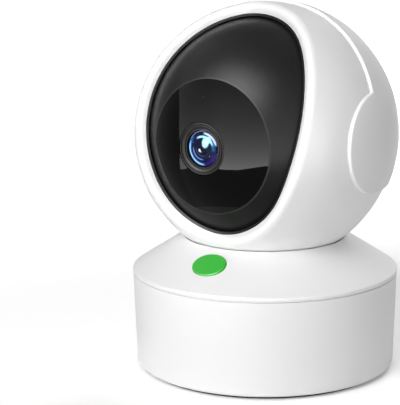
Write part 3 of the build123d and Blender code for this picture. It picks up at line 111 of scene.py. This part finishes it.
class Shader:
    # the nodes of one material, or of the world
    def __init__(self, owner):
        owner.use_nodes = True
        self.owner = owner
        self.tree = owner.node_tree
        self.tree.nodes.clear()

    def add(self, kind, settings, inputs):
        node = self.tree.nodes.new(kind)
        for key, value in settings.items():
            setattr(node, key, value)
        for key, value in inputs.items():
            socket = node.inputs[key]
            if isinstance(value, Wire):
                self.tree.links.new(value.socket, socket)
            else:
                socket.default_value = value
        return Wire(self, node.outputs[0]) if node.outputs else None

    def output(self, shade, kind="ShaderNodeOutputMaterial"):
        self.add(kind, {}, {"Surface": shade})
        return self.owner

    def surface(self, **sockets):
        # an underscore in a name stands for the space in the socket's own name
        inputs = {key.replace("_", " "): value for key, value in sockets.items()}
        return self.output(self.add("ShaderNodeBsdfPrincipled", {}, inputs))

    def emission(self, glow, strength=1.0):
        # glow is a colour, or a number that is taken as a grey
        return self.add("ShaderNodeEmission", {}, {"Color": glow, "Strength": strength})

    def place(self):
        return self.add("ShaderNodeTexCoord", {}, {}).other("Object")

    def noise(self, scale, detail=2.0, where=None):
        inputs = {"Vector": where or self.place(), "Scale": scale, "Detail": detail}
        return self.add("ShaderNodeTexNoise", {}, inputs)

    def blend(self, share, first, second):
        # the Mix node's colours are its sockets 6 and 7, and come out at output 2
        settings = {"data_type": "RGBA", "clamp_factor": True}
        node = self.add("ShaderNodeMix", settings, {0: share, 6: first, 7: second}).socket.node
        return Wire(self, node.outputs[2])

    def bump(self, height, distance, strength):
        inputs = {"Height": height, "Distance": distance, "Strength": strength}
        return self.add("ShaderNodeBump", {}, inputs)

    def split(self, where):
        return self.add("ShaderNodeSeparateXYZ", {}, {"Vector": where})

    def fromLens(self):
        # millimetres to the right and up from the line of sight, and the distance from it
        operation = {"operation": "SUBTRACT"}
        parts = self.split(self.add("ShaderNodeVectorMath", operation, {0: self.place(), 1: headCentre}))
        across = parts.other("X") * (1.0 / mm)
        up = parts.other("Z") * (1.0 / mm)
        return across, up, (across * across + up * up) ** 0.5

    def ring(self, distance, radius, width):
        # 1 on a circle of this radius, 0 a width away from it
        return (1.0 - (distance - radius).size() / width).most(0.0)

    def spot(self, across, up, place, radius, soft, stretch=1.0):
        # 1 inside a round spot with a soft edge, which stretch makes taller
        side = across - place[0]
        rise = (up - place[1]) / stretch
        distance = (side * side + rise * rise) ** 0.5
        return ((radius - distance) / soft + 0.5).clipped()

    def towards(self, across, up, distance, angle, spread, gain):
        # 1 about the direction of an angle seen from the front, 0 beyond the spread, in degrees
        nearest = 0.0001        # millimetres, so that nothing is divided by 0
        turn = math.radians(angle)
        facing = (across * math.cos(turn) + up * math.sin(turn)) / distance.most(nearest)
        limit = math.cos(math.radians(spread))
        return ((facing - limit) / (1.0 - limit) * gain).clipped()


def newShader(name):
    return Shader(bpy.data.materials.new(name))


def grey(value):
    return (value, value, value, 1.0)


def tinted(colour, factor):
    return tuple(min(1.0, factor * part) for part in colour) + (1.0,)


def paint(material, *names):
    # a CAD node gets one material for all its faces
    for name in names:
        slots = cad[name].data.materials
        slots.clear()
        slots.append(material)
        for face in cad[name].data.polygons:
            face.material_index = 0


def fromMesh(name, mesh, material):
    data = bpy.data.meshes.new(name)
    mesh.to_mesh(data)
    mesh.free()
    data.materials.append(material)
    made = bpy.data.objects.new(name, data)
    bpy.context.scene.collection.objects.link(made)
    return made


# White shells of the base and the head

whiteSettings = {
    "colour": 0.80,
    # the hood is the same white plastic, painted a little darker as shade on the rear of the head
    "hoodShadedColour": 0.77,
    "mottle": 0.012,            # how much the colour drifts either way
    "mottleScale": 18.0,
    "grainScale": 900.0,
    "grainDepth": 0.000012,     # metres
    "grainStrength": 0.5,
    "roughness": 0.34,
    "roughnessSpread": 0.08,
    "specular": 0.22,
}


def whiteFinish(name, colour):
    shader = newShader(name)
    cloud = shader.noise(whiteSettings["mottleScale"])
    grain = shader.noise(whiteSettings["grainScale"])
    low = grey(colour - whiteSettings["mottle"])
    high = grey(colour + whiteSettings["mottle"])
    return shader.surface(
        Base_Color=shader.blend(cloud, low, high),
        Roughness=whiteSettings["roughness"] + (grain - 0.5) * whiteSettings["roughnessSpread"],
        Specular_IOR_Level=whiteSettings["specular"],
        Normal=shader.bump(grain, whiteSettings["grainDepth"], whiteSettings["grainStrength"]),
    )


paint(whiteFinish("whiteShell", whiteSettings["colour"]),
      "base_housing", "base_top_cover", "head_front_shell")
# the hood gets the darker copy of the white, as painted shade
paint(whiteFinish("whiteHoodPaintedShade", whiteSettings["hoodShadedColour"]), "rear_hood")
print("white shells painted")


# Smoked window in front of the eye

windowSettings = {
    "dark": 0.0012,
    "light": 0.0020,
    "smudgeScale": 60.0,
    "roughness": 0.03,
    "roughnessSpread": 0.01,
    "specular": 0.08,
    "dimplePlace": (-0.38, 14.64),      # over the light sensor, in millimetres from the line of sight
    "dimpleRadius": 0.55,
    "dimpleEdge": 0.35,
    "dimpleDepth": -0.00015,            # metres
    "dimpleStrength": 1.0,
}


def windowFinish():
    shader = newShader("windowBlack")
    across, up, distance = shader.fromLens()
    dimple = shader.spot(across, up, windowSettings["dimplePlace"], windowSettings["dimpleRadius"],
                         windowSettings["dimpleEdge"])
    smudge = shader.noise(windowSettings["smudgeScale"])
    return shader.surface(
        Base_Color=shader.blend(smudge, grey(windowSettings["dark"]), grey(windowSettings["light"])),
        Roughness=windowSettings["roughness"] + smudge * windowSettings["roughnessSpread"],
        Specular_IOR_Level=windowSettings["specular"],
        Normal=shader.bump(dimple, windowSettings["dimpleDepth"], windowSettings["dimpleStrength"]),
    )


paint(windowFinish(), "window_glass")
print("window painted")


# Moulded pieces: what each finish changes of the usual plastic, and the nodes it goes on

plasticUsual = {
    "specular": 0.5,
    "mottleScale": 25.0,
    "darkest": 0.88,            # factors on the colour
    "lightest": 1.08,
    "grainScale": 700.0,
    "grainDepth": 0.00002,      # metres
    "grainStrength": 0.6,
    "roughnessSpread": 0.12,
}

plasticSettings = {
    "eyeBlack": {
        "colour": (0.0085, 0.0085, 0.0085), "roughness": 0.34, "specular": 0.06,
        "nodes": ["eye_shell"],
    },
    "trimBlack": {
        "colour": (0.004, 0.004, 0.004), "roughness": 0.45, "specular": 0.12,
        "nodes": ["opening_trim"],
    },
    "ringGrey": {
        "colour": (0.034, 0.033, 0.032), "roughness": 0.42, "specular": 0.04,
        "nodes": ["window_ring"],
    },
    "buttonGreen": {
        "colour": (0.010, 0.42, 0.012), "roughness": 0.4, "specular": 0.2,
        "nodes": ["call_button"],
    },
    "rubberFoot": {
        "colour": (0.02, 0.02, 0.02), "roughness": 0.75, "specular": 0.3,
        "grainScale": 1200.0, "grainDepth": 0.00008,
        "nodes": ["rubber_foot", "speaker_gasket"],
    },
    "greyPlastic": {
        "colour": (0.42, 0.42, 0.42), "roughness": 0.5,
        "nodes": ["bottom_plate", "pan_frame", "eye_back_cover", "lens_holder"],
    },
    "nylonCream": {
        "colour": (0.72, 0.70, 0.64), "roughness": 0.45,
        "nodes": ["pan_bearing", "tilt_bushings", "turntable", "pan_pinion", "tilt_pinion", "tilt_gear"],
    },
    "blackParts": {
        "colour": (0.012, 0.012, 0.012), "roughness": 0.5,
        "nodes": ["speaker", "reset_switch", "call_switch", "image_sensor", "reset_button"],
    },
    "amberFilm": {
        "colour": (0.45, 0.20, 0.04), "roughness": 0.4,
        "nodes": ["head_ribbon", "wifi_antenna"],
    },
    "lensMetal": {
        "colour": (0.01, 0.01, 0.01), "roughness": 0.4,
        "nodes": ["lens_barrel", "lens_retainer"],
    },
    "ledClear": {
        "colour": (0.30, 0.28, 0.30), "roughness": 0.1,
        "nodes": ["ir_leds", "light_sensor"],
    },
    "lensGlass": {
        "colour": (0.01, 0.02, 0.06), "roughness": 0.03, "specular": 0.6, "grainDepth": 0.0,
        "nodes": ["front_lens", "lens_elements"],
    },
}


def plasticFinish(name, changes):
    settings = {**plasticUsual, **changes}
    shader = newShader(name)
    cloud = shader.noise(settings["mottleScale"])
    fine = shader.noise(settings["grainScale"], 3.0)
    darker = tinted(settings["colour"], settings["darkest"])
    lighter = tinted(settings["colour"], settings["lightest"])
    return shader.surface(
        Base_Color=shader.blend(cloud, darker, lighter),
        Roughness=settings["roughness"] + (fine - 0.5) * settings["roughnessSpread"],
        Specular_IOR_Level=settings["specular"],
        Normal=shader.bump(fine, settings["grainDepth"], settings["grainStrength"]),
    )


for name, changes in plasticSettings.items():
    paint(plasticFinish(name, changes), *changes["nodes"])
print(len(plasticSettings), "plastics painted")


# Metal pieces: marks counts the turned or drawn lines along Z, in radians to the metre

metalUsual = {
    "marks": 0.0,
    "darkest": 0.8,             # factor on the colour
    "grainScale": 1500.0,
    "grainDepth": 0.00002,      # metres
    "grainStrength": 0.4,
    "roughnessSpread": 0.15,
}

metalSettings = {
    "brassTurned": {
        "colour": (0.70, 0.50, 0.22), "roughness": 0.3, "marks": 9000.0,
        "nodes": ["tripod_insert"],
    },
    "steelPlated": {
        "colour": (0.60, 0.60, 0.61), "roughness": 0.3,
        "nodes": ["case_screws", "pan_motor_screws", "base_board_screws", "call_board_screws",
                  "turntable_screws", "tilt_pins", "tilt_bracket", "tilt_bracket_screws",
                  "tilt_motor_screws", "pan_motor_shaft", "tilt_motor_shaft", "camera_board_screws",
                  "eye_screws", "tilt_gear_screws", "hub_clip", "power_socket", "memory_card_socket"],
    },
    "ironPlate": {
        "colour": (0.22, 0.22, 0.22), "roughness": 0.6,
        "nodes": ["ballast_plate"],
    },
    "motorCan": {
        "colour": (0.62, 0.62, 0.64), "roughness": 0.35, "marks": 4000.0,
        "nodes": ["pan_motor", "tilt_motor"],
    },
}


def metalFinish(name, changes):
    settings = {**metalUsual, **changes}
    shader = newShader(name)
    where = shader.place()
    fine = shader.noise(settings["grainScale"], 3.0, where)
    marks = fine
    if settings["marks"]:
        marks = fine * 0.5 + (shader.split(where).other("Z") * settings["marks"]).sine() * 0.5
    darker = tinted(settings["colour"], settings["darkest"])
    return shader.surface(
        Base_Color=shader.blend(fine, darker, tinted(settings["colour"], 1.0)),
        Metallic=1.0,
        Roughness=settings["roughness"] + (fine - 0.5) * settings["roughnessSpread"],
        Normal=shader.bump(marks, settings["grainDepth"], settings["grainStrength"]),
    )


for name, changes in metalSettings.items():
    paint(metalFinish(name, changes), *changes["nodes"])
print(len(metalSettings), "metals painted")


# Circuit boards: solder mask over copper traces, which are the borders of a coarse pattern of cells

boardSettings = {
    "maskDark": (0.004, 0.06, 0.022, 1.0),
    "maskLight": (0.006, 0.085, 0.03, 1.0),
    "maskScale": 600.0,
    "trace": (0.012, 0.13, 0.05, 1.0),
    "traceScale": 420.0,
    "traceWidth": 0.07,         # as a share of a cell
    "traceDepth": 0.00004,      # metres
    "traceStrength": 0.5,
    "roughness": 0.35,
    "roughnessSpread": 0.1,
}


def boardFinish():
    shader = newShader("circuitBoard")
    where = shader.place()
    cells = shader.add("ShaderNodeTexVoronoi", {"feature": "DISTANCE_TO_EDGE"},
                       {"Vector": where, "Scale": boardSettings["traceScale"]})
    trace = cells.other("Distance") < boardSettings["traceWidth"]
    fine = shader.noise(boardSettings["maskScale"], where=where)
    mask = shader.blend(fine, boardSettings["maskDark"], boardSettings["maskLight"])
    return shader.surface(
        Base_Color=shader.blend(trace, mask, boardSettings["trace"]),
        Roughness=boardSettings["roughness"] + fine * boardSettings["roughnessSpread"],
        Normal=shader.bump(trace, boardSettings["traceDepth"], boardSettings["traceStrength"]),
    )


paint(boardFinish(), "base_board", "call_board", "camera_board", "ir_board")
print("boards painted")


# Pieces of the lens, all turned about the line of sight and riding on the eye

turnedSettings = {
    "steps": 96,
    "merge": 1e-6,              # metres
    "crease": 35.0,             # degrees past which an edge stays sharp
}


def turnedPiece(name, material, profile, *nodes):
    # profile is a closed line of (radius, forward) points in millimetres; the piece stands for the nodes
    mesh = bmesh.new()
    points = [mesh.verts.new((radius * mm, -forward * mm, 0.0)) for radius, forward in profile]
    edges = [mesh.edges.new(pair) for pair in zip(points, points[1:] + points[:1])]
    bmesh.ops.spin(mesh, geom=points + edges, cent=(0, 0, 0), axis=(0, 1, 0), angle=2 * math.pi,
                   steps=turnedSettings["steps"], use_merge=True, dvec=(0, 0, 0))
    bmesh.ops.remove_doubles(mesh, verts=mesh.verts, dist=turnedSettings["merge"])
    bmesh.ops.recalc_face_normals(mesh, faces=mesh.faces)
    bmesh.ops.translate(mesh, vec=headCentre, verts=mesh.verts)
    for face in mesh.faces:
        face.smooth = True
    crease = math.radians(turnedSettings["crease"])
    for edge in mesh.edges:
        if len(edge.link_faces) == 2 and edge.calc_face_angle() > crease:
            edge.smooth = False
    piece = fromMesh(name, mesh, material)
    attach(piece, "eye")
    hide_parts(*nodes)


def domeProfile(outer, inner, apex, curve, count):
    # points of a dome from one radius to another, its apex forward of the head's centre
    points = []
    for step in range(count + 1):
        radius = outer + (inner - outer) * step / count
        points.append((radius, apex - curve + math.sqrt(curve ** 2 - radius ** 2)))
    return points


# Lens barrel, in millimetres: a rim, a satin bezel and a lip round the glass, with a painted highlight on
# the rim's bevel and one on the lip

barrelSettings = {
    "front": 35.71,             # just at the window's face
    "rim": 8.0,
    "bezelOuter": 7.05,
    "bezelInner": 6.25,
    "mouth": 5.72,
    "steps": [
        # the radius that a point is measured from, how far outside it, how far behind the front
        ("rim", -0.02, 5.71),
        ("rim", -0.02, 0.40),
        ("rim", -0.20, 0.08),
        ("rim", -0.42, 0.0),
        ("rim", -0.52, 0.06),
        ("rim", -0.58, 0.42),
        ("bezelOuter", 0.03, 0.50),
        ("bezelOuter", 0.0, 0.20),
        ("bezelOuter", -0.10, 0.14),
        ("bezelInner", 0.10, 0.34),
        ("bezelInner", 0.0, 0.42),
        ("bezelInner", -0.03, 0.78),
        ("mouth", 0.22, 0.80),
        ("mouth", 0.19, 0.50),
        ("mouth", 0.10, 0.42),
        ("mouth", 0.0, 0.55),
        ("mouth", 0.0, 4.60),
        ("mouth", 0.80, 5.71),
    ],
    "dark": 0.003,
    "light": 0.005,
    "bezelColour": (0.014, 0.0135, 0.012, 1.0),
    "bezelEdge": 0.06,
    # a light ring painted on the lip round the glass: a painted highlight of its edge
    "lipHighlightColour": (0.15, 0.14, 0.12, 1.0),
    "lipOut": 0.14,             # from the mouth
    "lipWidth": 0.12,
    # a lighter ring painted on the rim's bevel: a painted highlight of its edge
    "bevelHighlightColour": (0.030, 0.028, 0.026, 1.0),
    "bevelHighlightIn": 0.30,             # from the rim
    "bevelHighlightWidth": 0.24,
    "grainScale": 1400.0,
    "roughness": 0.40,
    "roughnessSpread": 0.12,
    "specular": 0.07,
    "marks": 26.0,              # turned lines, in radians to the millimetre
    "marksDepth": 0.000006,     # metres
    "marksStrength": 0.3,
}


def barrelFinish():
    # black coated metal, its turned lines run round the lens; the lighter rings on the rim's bevel and on
    # the lip are painted highlights
    outer = barrelSettings["bezelOuter"]
    inner = barrelSettings["bezelInner"]
    lipRadius = barrelSettings["mouth"] + barrelSettings["lipOut"]
    bevelHighlightRadius = barrelSettings["rim"] - barrelSettings["bevelHighlightIn"]
    shader = newShader("lensBarrelBlack")
    across, up, distance = shader.fromLens()
    fromMiddle = (distance - (outer + inner) / 2).size()
    bezel = (((outer - inner) / 2 - fromMiddle) / barrelSettings["bezelEdge"]).clipped()
    lip = shader.ring(distance, lipRadius, barrelSettings["lipWidth"])
    bevelHighlight = shader.ring(distance, bevelHighlightRadius, barrelSettings["bevelHighlightWidth"])
    fine = shader.noise(barrelSettings["grainScale"])
    tone = shader.blend(fine, grey(barrelSettings["dark"]), grey(barrelSettings["light"]))
    tone = shader.blend(bezel, tone, barrelSettings["bezelColour"])
    # the light ring on the lip is a painted highlight
    tone = shader.blend(lip, tone, barrelSettings["lipHighlightColour"])
    # the lighter ring on the rim's bevel is a painted highlight
    tone = shader.blend(bevelHighlight, tone, barrelSettings["bevelHighlightColour"])
    marks = (distance * barrelSettings["marks"]).sine()
    return shader.surface(
        Base_Color=tone,
        Roughness=barrelSettings["roughness"] + fine * barrelSettings["roughnessSpread"],
        Specular_IOR_Level=barrelSettings["specular"],
        Normal=shader.bump(marks, barrelSettings["marksDepth"], barrelSettings["marksStrength"]),
    )


def makeBarrel():
    front = barrelSettings["front"]
    profile = [(barrelSettings[edge] + out, front - sunk) for edge, out, sunk in barrelSettings["steps"]]
    turnedPiece("lensBarrel", barrelFinish(), profile, "lens_barrel", "lens_retainer")


# Clear front glass, in millimetres

glassSettings = {
    "front": 35.66,
    "curve": 17.0,
    "gap": 0.02,                # to the barrel's mouth
    "middle": 0.22,             # thickness at the middle
    "edge": 1.22,               # how far the edge of its back lies behind the front
    "count": 14,
    "colour": 0.003,
    "alpha": 0.08,
    "alphaSpread": 0.02,
    "smudgeScale": 160.0,
    "roughness": 0.02,
    "roughnessSpread": 0.015,
    "specular": 0.02,
}


def glassFinish():
    shader = newShader("clearGlass")
    smudge = shader.noise(glassSettings["smudgeScale"])
    return shader.surface(
        Base_Color=grey(glassSettings["colour"]),
        Roughness=glassSettings["roughness"] + smudge * glassSettings["roughnessSpread"],
        Specular_IOR_Level=glassSettings["specular"],
        Alpha=glassSettings["alpha"] + smudge * glassSettings["alphaSpread"],
    )


def makeFrontGlass():
    front = glassSettings["front"]
    rim = barrelSettings["mouth"] - glassSettings["gap"]
    profile = domeProfile(rim, 0.0, front, glassSettings["curve"], glassSettings["count"])
    profile += [(0.0, front - glassSettings["middle"]), (rim, front - glassSettings["edge"])]
    turnedPiece("frontGlass", glassFinish(), profile, "front_lens")


# Coated element under the clear glass, with painted reflections and highlights on its coating that also
# glow: lengths in millimetres, angles in degrees seen from the front

coreSettings = {
    "sunk": 0.30,               # below the clear glass
    "back": 4.0,                # behind the front of the clear glass
    "zones": [
        # outer and inner radius, how much deeper than the element's top, count of points
        (5.69, 4.15, 0.10, 6),
        (4.10, 2.75, 0.02, 5),
        (2.70, 1.25, 0.14, 5),
        (1.20, 0.0, 0.04, 6),
    ],
    "deep": (0.003, 0.004, 0.016, 1.0),
    "navy": (0.006, 0.010, 0.060, 1.0),
    "lines": 9.0,               # radians to the millimetre
    "linesFull": 5.0,           # the radius from which the lines show in full
    "paintedReflectionGain": 1.6,            # over 1 keeps the middle of a painted reflection at its full strength
    "paintedReflectionArcs": [
        # painted reflections on the coating: radius, half width, angle, spread, strength, colour
        (4.75, 0.75, 205.0, 75.0, 1.0, (0.004, 0.110, 0.420, 1.0)),
        (4.92, 0.34, 215.0, 62.0, 1.0, (0.480, 0.820, 1.000, 1.0)),
        (5.25, 0.22, 118.0, 38.0, 0.7, (0.300, 0.300, 0.520, 1.0)),
        (3.35, 0.30, 225.0, 52.0, 0.8, (0.160, 0.260, 0.560, 1.0)),
        (2.30, 0.22, 235.0, 60.0, 0.5, (0.050, 0.070, 0.260, 1.0)),
        (4.65, 0.80, 308.0, 36.0, 0.7, (0.040, 0.014, 0.170, 1.0)),
        (3.75, 0.70, 36.0, 50.0, 0.8, (0.006, 0.120, 0.290, 1.0)),
        (3.62, 0.42, 72.0, 58.0, 1.0, (0.380, 0.850, 0.950, 1.0)),
        (4.62, 0.42, 52.0, 40.0, 1.0, (0.620, 0.720, 0.950, 1.0)),
    ],
    "paintedHighlightSpots": [
        # round painted highlights: place, radius, soft edge, stretch upwards, colour
        ((0.95, 1.85), 1.05, 0.55, 1.35, (0.52, 0.95, 0.98, 1.0)),
        ((1.95, 2.70), 0.80, 0.70, 1.10, (0.50, 0.93, 0.98, 1.0)),
        ((-0.60, -0.95), 0.26, 0.34, 0.80, (0.45, 0.42, 0.70, 1.0)),
        ((-1.00, -0.55), 0.36, 0.30, 1.20, (0.95, 0.90, 1.00, 1.0)),
    ],
    # the element glows with its painted colours, though it is no lamp
    "glow": 0.55,
    "grainScale": 300.0,
    "roughness": 0.12,
    "roughnessSpread": 0.03,
    "specular": 0.02,
}


def coreCoatAndPaintedReflections():
    gain = coreSettings["paintedReflectionGain"]
    shader = newShader("coatedBluePaintedReflections")
    across, up, distance = shader.fromLens()
    lines = (distance * coreSettings["lines"]).sine() * 0.5 + 0.5
    lines = lines * (distance / coreSettings["linesFull"]).least(1.0)
    tone = shader.blend(lines, coreSettings["deep"], coreSettings["navy"])
    # painted reflections and highlights laid over the coating's own colours
    for radius, width, angle, spread, strength, colour in coreSettings["paintedReflectionArcs"]:
        arc = shader.towards(across, up, distance, angle, spread, gain)
        mask = shader.ring(distance, radius, width) * arc
        tone = shader.blend((mask * (gain * strength)).least(strength), tone, colour)
    for place, radius, soft, stretch, colour in coreSettings["paintedHighlightSpots"]:
        tone = shader.blend(shader.spot(across, up, place, radius, soft, stretch), tone, colour)
    grain = shader.noise(coreSettings["grainScale"])
    return shader.surface(
        Base_Color=tone,
        Roughness=coreSettings["roughness"] + grain * coreSettings["roughnessSpread"],
        Specular_IOR_Level=coreSettings["specular"],
        # the painted reflections and the coating glow as well, though the element is no lamp
        Emission_Color=tone,
        Emission_Strength=coreSettings["glow"],
    )


def makeCore():
    top = glassSettings["front"] - coreSettings["sunk"]
    back = glassSettings["front"] - coreSettings["back"]
    profile = []
    for outer, inner, deeper, count in coreSettings["zones"]:
        profile += domeProfile(outer, inner, top - deeper, glassSettings["curve"], count)
    profile += [(profile[-1][0], back), (profile[0][0], back)]
    turnedPiece("lensCore", coreCoatAndPaintedReflections(), profile, "lens_elements")


makeBarrel()
makeFrontGlass()
makeCore()
print("lens pieces made")


# Floor: for the camera it also glows, more with the distance from the object, up to plain white

floorSettings = {
    "radius": 3.0,              # metres
    "segments": 64,
    "colour": 0.86,
    "mottle": 0.01,
    "mottleScale": 3.0,
    "near": 0.12,               # metres from the middle, where the glow starts to rise
    "far": 0.55,                # and where it has all of its rise
    "glow": 0.20,
    "glowRise": 0.75,
}


def floorFinish():
    shader = newShader("floorPale")
    seen = shader.add("ShaderNodeLightPath", {}, {}).other("Is Camera Ray")
    fine = shader.noise(floorSettings["mottleScale"])
    low = grey(floorSettings["colour"])
    high = grey(floorSettings["colour"] + floorSettings["mottle"])
    lit = shader.add("ShaderNodeBsdfDiffuse", {}, {"Color": shader.blend(fine, low, high)})
    reach = shader.add("ShaderNodeVectorMath", {"operation": "LENGTH"}, {0: shader.place()}).other("Value")
    span = floorSettings["far"] - floorSettings["near"]
    share = ((reach - floorSettings["near"]) / span).clipped()
    glow = shader.emission(floorSettings["glow"] + share * floorSettings["glowRise"], seen)
    return shader.output(shader.add("ShaderNodeAddShader", {}, {0: lit, 1: glow}))


def makeFloor():
    mesh = bmesh.new()
    bmesh.ops.create_circle(mesh, cap_ends=True, segments=floorSettings["segments"],
                            radius=floorSettings["radius"])
    fromMesh("floor", mesh, floorFinish())
    print("floor laid")


# Daylight: white where it is seen or mirrored, and dim as a light on the object

worldSettings = {"ambient": 0.250}


def makeWorld():
    world = bpy.data.worlds.new("daylight")
    bpy.context.scene.world = world
    shader = Shader(world)
    path = shader.add("ShaderNodeLightPath", {}, {})
    direct = path.other("Is Camera Ray").most(path.other("Is Glossy Ray"))
    direct = direct.most(path.other("Is Transmission Ray"))
    strength = worldSettings["ambient"] + direct * (1.0 - worldSettings["ambient"])
    glow = shader.add("ShaderNodeBackground", {}, {"Color": grey(1.0), "Strength": strength})
    shader.output(glow, "ShaderNodeOutputWorld")
    print("daylight set")


lampSettings = [
    # name, place, what it aims at, width and height, all in metres, then watts, and what it lights
    ("keyLamp", (-0.02, -1.21, 0.82), (0.0, 0.0, 0.06), 0.9, 0.9, 15.9, "diffuse"),
    ("topLamp", (0.35, -0.20, 1.1), (0.0, 0.0, 0.0), 0.7, 0.7, 1.6, "diffuse"),
    ("rimLamp", (-0.20, 0.90, 0.34), (0.0, 0.0, 0.06), 0.30, 0.4, 4.6, "diffuse"),
    ("glossLamp", (-0.09, -0.58, 0.62), (0.0, 0.0, 0.08), 0.66, 0.48, 66.0, "gloss"),
]


def makeLamps():
    for name, place, aim, width, height, watts, part in lampSettings:
        data = bpy.data.lights.new(name, "AREA")
        data.shape = "RECTANGLE"
        data.size = width
        data.size_y = height
        data.energy = watts
        lamp = bpy.data.objects.new(name, data)
        bpy.context.scene.collection.objects.link(lamp)
        lamp.location = place
        lamp.rotation_euler = (Vector(aim) - Vector(place)).to_track_quat("-Z", "Y").to_euler()
        lamp.visible_glossy = part == "gloss"
        lamp.visible_diffuse = part == "diffuse"
    print(len(lampSettings), "lamps lit")


# Two sheets on one cylinder round the front, which show only as reflections: a bright soft box and,
# left of it, a dark sheet. The foot of each has an apron that lies on the floor. Lengths in metres.

sheetSettings = {
    "radius": 0.171,
    "top": 0.45,
    "cells": 40,
    "gap": 0.0004,              # above the floor
    "spacing": 1.6,             # over 1 puts more of the rows near the foot
    "apronShare": 0.2,          # share of the rows in the apron
    "apronDepth": 0.115,
    # the upright edges: height, and degrees round from the front
    "rightEdge": [(0.0, 80.0), (0.45, 80.0)],
    "leftEdge": [
        (0.0, -57.0), (0.045, -51.3), (0.085, -51.5), (0.113, -55.4), (0.127, -59.1),
        (0.141, -64.2), (0.152, -70.7), (0.160, -79.0), (0.20, -110.0), (0.45, -120.0),
    ],
    "farEdge": [(0.0, -170.0), (0.45, -170.0)],
    # the foot: degrees round from the front, and height
    "foot": [(-170.0, 0.0), (8.0, 0.0), (40.0, 0.018), (80.0, 0.045)],
}

softBoxSettings = {
    "apronGlow": 0.65,
    "wallGlow": 0.4,            # more than the apron
    "footGlow": 18.5,           # more than that at the foot
    "fade": 0.086,              # height in which the foot's glow falls to a third
    "darkX": -0.19,             # left of here the foot has no such glow
    "growth": 6.0,              # share of the foot's glow gained for each metre to the right
    "wallMargin": 0.0015,       # how far inside the cylinder the wall's glow starts
    "wallSharp": 1000.0,        # share of the wall's glow gained for each metre outwards
}

darkSheetSettings = {"glow": 0.40}


def alongTable(table, value):
    for (low, first), (high, second) in zip(table, table[1:]):
        if value <= high:
            return first + (second - first) * max(0.0, value - low) / (high - low)
    return table[-1][1]


def makeSheet(name, left, right, material):
    apronShare = sheetSettings["apronShare"]
    cells = sheetSettings["cells"]
    mesh = bmesh.new()
    bmesh.ops.create_grid(mesh, x_segments=cells, y_segments=cells, size=0.5)
    for point in mesh.verts:
        share = point.co.x + 0.5
        up = point.co.y + 0.5
        rise = max(0.0, up - apronShare) / (1.0 - apronShare)
        inward = max(0.0, apronShare - up) / apronShare * sheetSettings["apronDepth"]
        start = alongTable(left, 0.0)
        low = alongTable(sheetSettings["foot"], start + share * (alongTable(right, 0.0) - start))
        height = low + sheetSettings["gap"] + rise ** sheetSettings["spacing"] * (sheetSettings["top"] - low)
        start = alongTable(left, height)
        turn = math.radians(start + share * (alongTable(right, height) - start))
        radius = sheetSettings["radius"] - inward
        point.co = (radius * math.sin(turn), -radius * math.cos(turn), height)
    sheet = fromMesh(name, mesh, material)
    for sight in ("visible_camera", "visible_diffuse", "visible_shadow", "visible_transmission"):
        setattr(sheet, sight, False)


def softBoxFinish():
    # brightest at the foot of its wall, and dimmer to the left
    shader = newShader("softBoxGlow")
    parts = shader.split(shader.place())
    side = ((parts.other("X") - softBoxSettings["darkX"]) * softBoxSettings["growth"]).clipped()
    fall = (parts.other("Z") * (-1.0 / softBoxSettings["fade"])).exponent()
    reach = (parts.other("X") * parts.other("X") + parts.other("Y") * parts.other("Y")) ** 0.5
    start = sheetSettings["radius"] - softBoxSettings["wallMargin"]
    wall = ((reach - start) * softBoxSettings["wallSharp"]).clipped()
    glow = softBoxSettings["wallGlow"] + fall * side * softBoxSettings["footGlow"]
    return shader.output(shader.emission(softBoxSettings["apronGlow"] + wall * glow))


def darkSheetFinish():
    shader = newShader("darkSheetGlow")
    return shader.output(shader.emission(grey(darkSheetSettings["glow"])))


def makeSheets():
    makeSheet("softBox", sheetSettings["leftEdge"], sheetSettings["rightEdge"], softBoxFinish())
    makeSheet("darkSheet", sheetSettings["farEdge"], sheetSettings["leftEdge"], darkSheetFinish())
    print("soft box and dark sheet up")


cameraSettings = {
    "place": (0.25258, -0.40830, 0.15351),
    "turn": 0.597,              # radians
    "down": 0.20760,
    "roll": -0.009,
    "lens": 136.48,             # millimetres
    "sensor": 36.0,
    "nearest": 0.01,            # metres
}


def makeCamera():
    data = bpy.data.cameras.new("camera")
    data.lens = cameraSettings["lens"]
    data.sensor_width = cameraSettings["sensor"]
    data.clip_start = cameraSettings["nearest"]
    camera = bpy.data.objects.new("camera", data)
    bpy.context.scene.collection.objects.link(camera)
    turn = Matrix.Rotation(cameraSettings["turn"], 4, "Z")
    tip = Matrix.Rotation(math.pi / 2 - cameraSettings["down"], 4, "X")
    roll = Matrix.Rotation(cameraSettings["roll"], 4, "Z")
    camera.matrix_world = Matrix.Translation(cameraSettings["place"]) @ turn @ tip @ roll
    bpy.context.scene.camera = camera
    print("camera placed")


makeFloor()
makeWorld()
makeLamps()
makeSheets()
makeCamera()
bpy.context.scene.view_settings.view_transform = "Standard"
print("stage ready")
